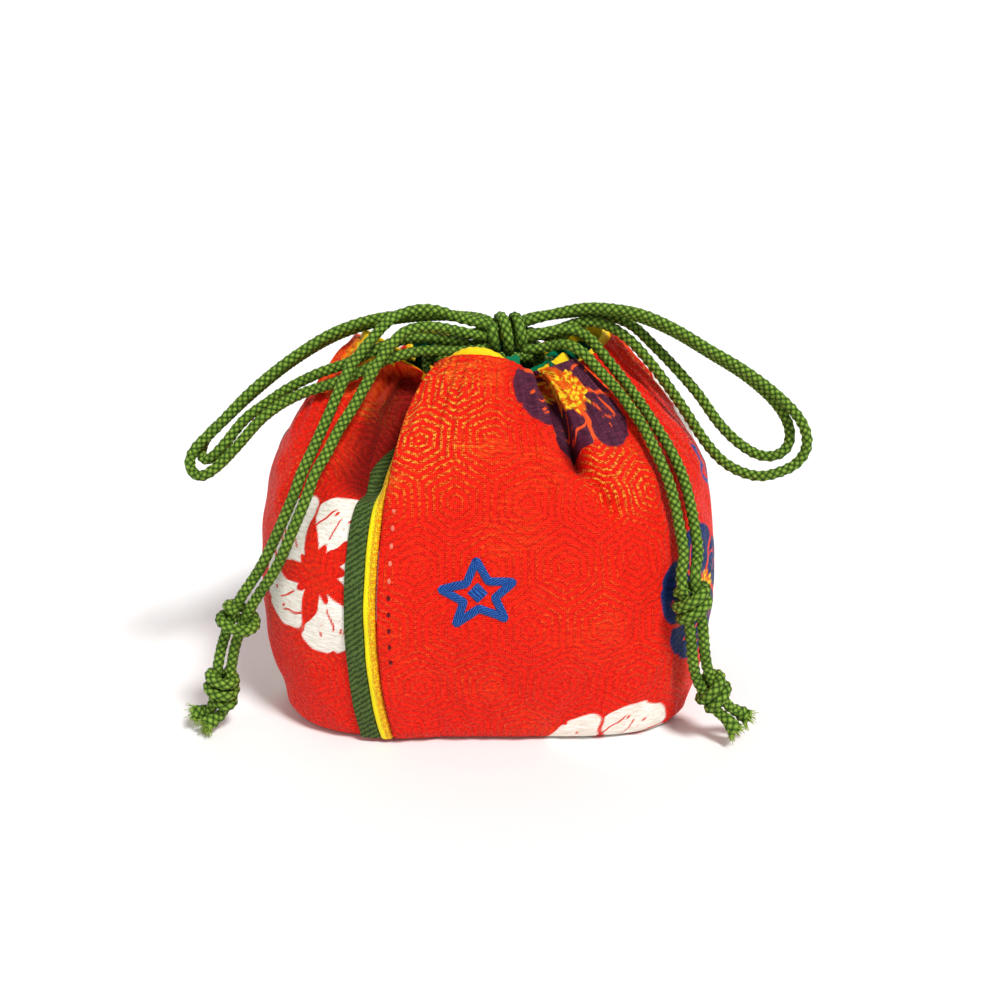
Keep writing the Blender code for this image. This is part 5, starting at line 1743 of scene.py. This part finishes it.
    def build_tails(self) -> None:
        """The four tails, each one cord from the bow through its two knots to its frayed end."""
        for side, letter, start, route, aside, tuft in (
            ("left", "a", BOW_KNOT.strand(-1, -1, 1), LEFT_TAIL_A, -0.5, LEFT_TUFT_A),
            ("left", "b", BOW_KNOT.strand(-1, -1, 0), LEFT_TAIL_B, 0.5, LEFT_TUFT_B),
            ("right", "a", BOW_KNOT.strand(1, -1, -1), RIGHT_TAIL_A, -0.5, RIGHT_TUFT_A),
            ("right", "b", BOW_KNOT.strand(1, -1, 0), RIGHT_TAIL_B, 0.5, RIGHT_TUFT_B),
        ):
            upper, lower = (LEFT_UPPER, LEFT_LOWER) if side == "left" else (RIGHT_UPPER, RIGHT_LOWER)
            points = [*start, *route]
            for knot, near in ((upper, 0.42), (lower, 0.42)):
                points += [knot.place(-1, 0.0, aside * 0.9), knot.place(1, 0.0, aside * near * 2)]
            points += list(tuft)
            nodes = tuple(f"{side}_{part}_{letter}" for part in ("tail", "short_strand", "frayed_end"))
            fray = self.build_fray(f"{side}_fray_{letter}", tuft, len(side) + ord(letter))
            self.lay_cord(f"{side}_tail_{letter}_braid", points, nodes, (5.0, 1.5))

    def build(self) -> None:
        """Every cord and knot."""
        for knot in (BOW_KNOT, LEFT_UPPER, LEFT_LOWER, RIGHT_UPPER, RIGHT_LOWER):
            self.build_knot(knot)
            LOG.info("%s built", knot.name)
        self.build_runs()
        self.build_loops()
        self.build_tails()


# Studio


@dataclass
class Studio:
    """Plain floor, soft lamps and the camera at the photograph's viewing angle."""

    lens: float = 49.7
    place: tuple[float, float, float] = (0.0026, -0.3005, 0.142)
    pitch: float = 18.36

    def build_camera(self) -> None:
        """The scene's camera."""
        data = bpy.data.cameras.new("camera")
        data.lens = self.lens
        data.sensor_width = 36.0
        camera = bpy.data.objects.new("camera", data)
        camera.location = self.place
        camera.rotation_euler = (math.radians(90 - self.pitch), 0.0, 0.0)
        bpy.context.scene.collection.objects.link(camera)
        bpy.context.scene.camera = camera

    def build_floor(self) -> None:
        """A pale floor that keeps the shadow, with a backdrop that rises behind it."""
        profile = [(-1.2, 0.0), (1.0, 0.0)]
        for step in range(1, 13):
            turn = math.pi / 2 * step / 12
            profile.append((1.0 + 0.6 * math.sin(turn), 0.6 - 0.6 * math.cos(turn)))
        profile.append((1.6, 2.4))
        half = 3.0
        points = np.array([[(x, y, z) for x in (half, -half)] for y, z in profile]) / MM
        mesh_faces = grid_faces(len(profile), 2, False)
        mesh = bpy.data.meshes.new("backdrop")
        mesh.from_pydata((points.reshape(-1, 3) * MM).tolist(), [], mesh_faces.tolist())
        mesh.shade_smooth()
        floor = bpy.data.objects.new("backdrop", mesh)
        material, _, shader = new_material("pale_floor", 0.9)
        shader.inputs["Base Color"].default_value = (0.88, 0.88, 0.87, 1.0)
        mesh.materials.append(material)
        bpy.context.scene.collection.objects.link(floor)

    def build_lamp(self, name: str, way: tuple[float, float, float], power: float, spread: float) -> None:
        """A soft, even lamp.

        Args:
            name: name of the lamp.
            way: direction from the pouch towards the lamp.
            power: its strength.
            spread: its apparent size in degrees.
        """
        data = bpy.data.lights.new(name, "SUN")
        data.energy = power
        data.angle = math.radians(spread)
        lamp = bpy.data.objects.new(name, data)
        lamp.rotation_mode = "QUATERNION"
        lamp.rotation_quaternion = Vector(way).to_track_quat("Z", "Y")
        lamp.location = Vector(way).normalized()
        bpy.context.scene.collection.objects.link(lamp)

    def build_world(self) -> None:
        """Even pale light from all round, and a white background."""
        world = bpy.data.worlds.new("studio")
        world.use_nodes = True
        wires = Wires(world.node_tree)
        background = world.node_tree.nodes["Background"]
        seen = wires.node("ShaderNodeLightPath").outputs["Is Camera Ray"]
        wires.put(wires.mix(seen, (0.33, 0.33, 0.33, 1.0), (1.0, 1.0, 1.0, 1.0)), background.inputs["Color"])
        bpy.context.scene.world = world

    def build(self) -> None:
        """The whole studio."""
        self.build_camera()
        self.build_floor()
        self.build_world()
        self.build_lamp("key", (0.36, -0.52, 0.77), 3.15, 14.0)
        self.build_lamp("fill", (-0.7, -0.6, 0.30), 0.55, 60.0)
        bpy.context.scene.view_settings.view_transform = "Standard"


def main() -> None:
    """Builds every piece and the studio."""
    logging.basicConfig(level=logging.INFO, format="%(message)s")
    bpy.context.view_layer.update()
    drape = Drape()
    effects = Effects()
    CordWork(finish=BraidFinish(effects).make()).build()
    brocade = BrocadeFinish(effects, FLOWERS, STARS).make()
    BrocadeBody(drape).build().data.materials.append(brocade)
    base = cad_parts["base_panel"]
    base.data.materials.clear()
    base.data.materials.append(BaseFinish(effects).make())
    inner = InnerCloths(drape)
    yellow = SatinFinish(effects, "yellow_edge", (255, 224, 20), (252, 198, 8), 0.42)
    inner.build_facing().data.materials.append(yellow.make())
    teal = SatinFinish(effects, "green_satin", (0, 158, 104), (0, 104, 70))
    inner.build_lining().data.materials.append(teal.make())
    trims = SeamTrims(drape)
    trims.build_yellow().data.materials.append(WeltFinish(effects).make())
    green = TwillFinish(effects, "green_twill", (84, 108, 50), (34, 50, 18), 1.3, -0.8, 0.16)
    trims.build_green().data.materials.append(green.make())
    threads = RaisedThreads(drape)
    blue = ThreadFinish(effects, "blue_threads", (40, 104, 186), (10, 44, 112))
    threads.build_star().data.materials.append(blue.make())
    dark, pale = threads.build_stitches()
    dark.data.materials.append(ThreadFinish(effects, "dark_stitch", (140, 12, 10), (64, 2, 6)).make())
    pale.data.materials.append(ThreadFinish(effects, "pale_stitch", (255, 176, 150), (236, 96, 70)).make())
    Studio().build()


if __name__ == "__main__":
    main()
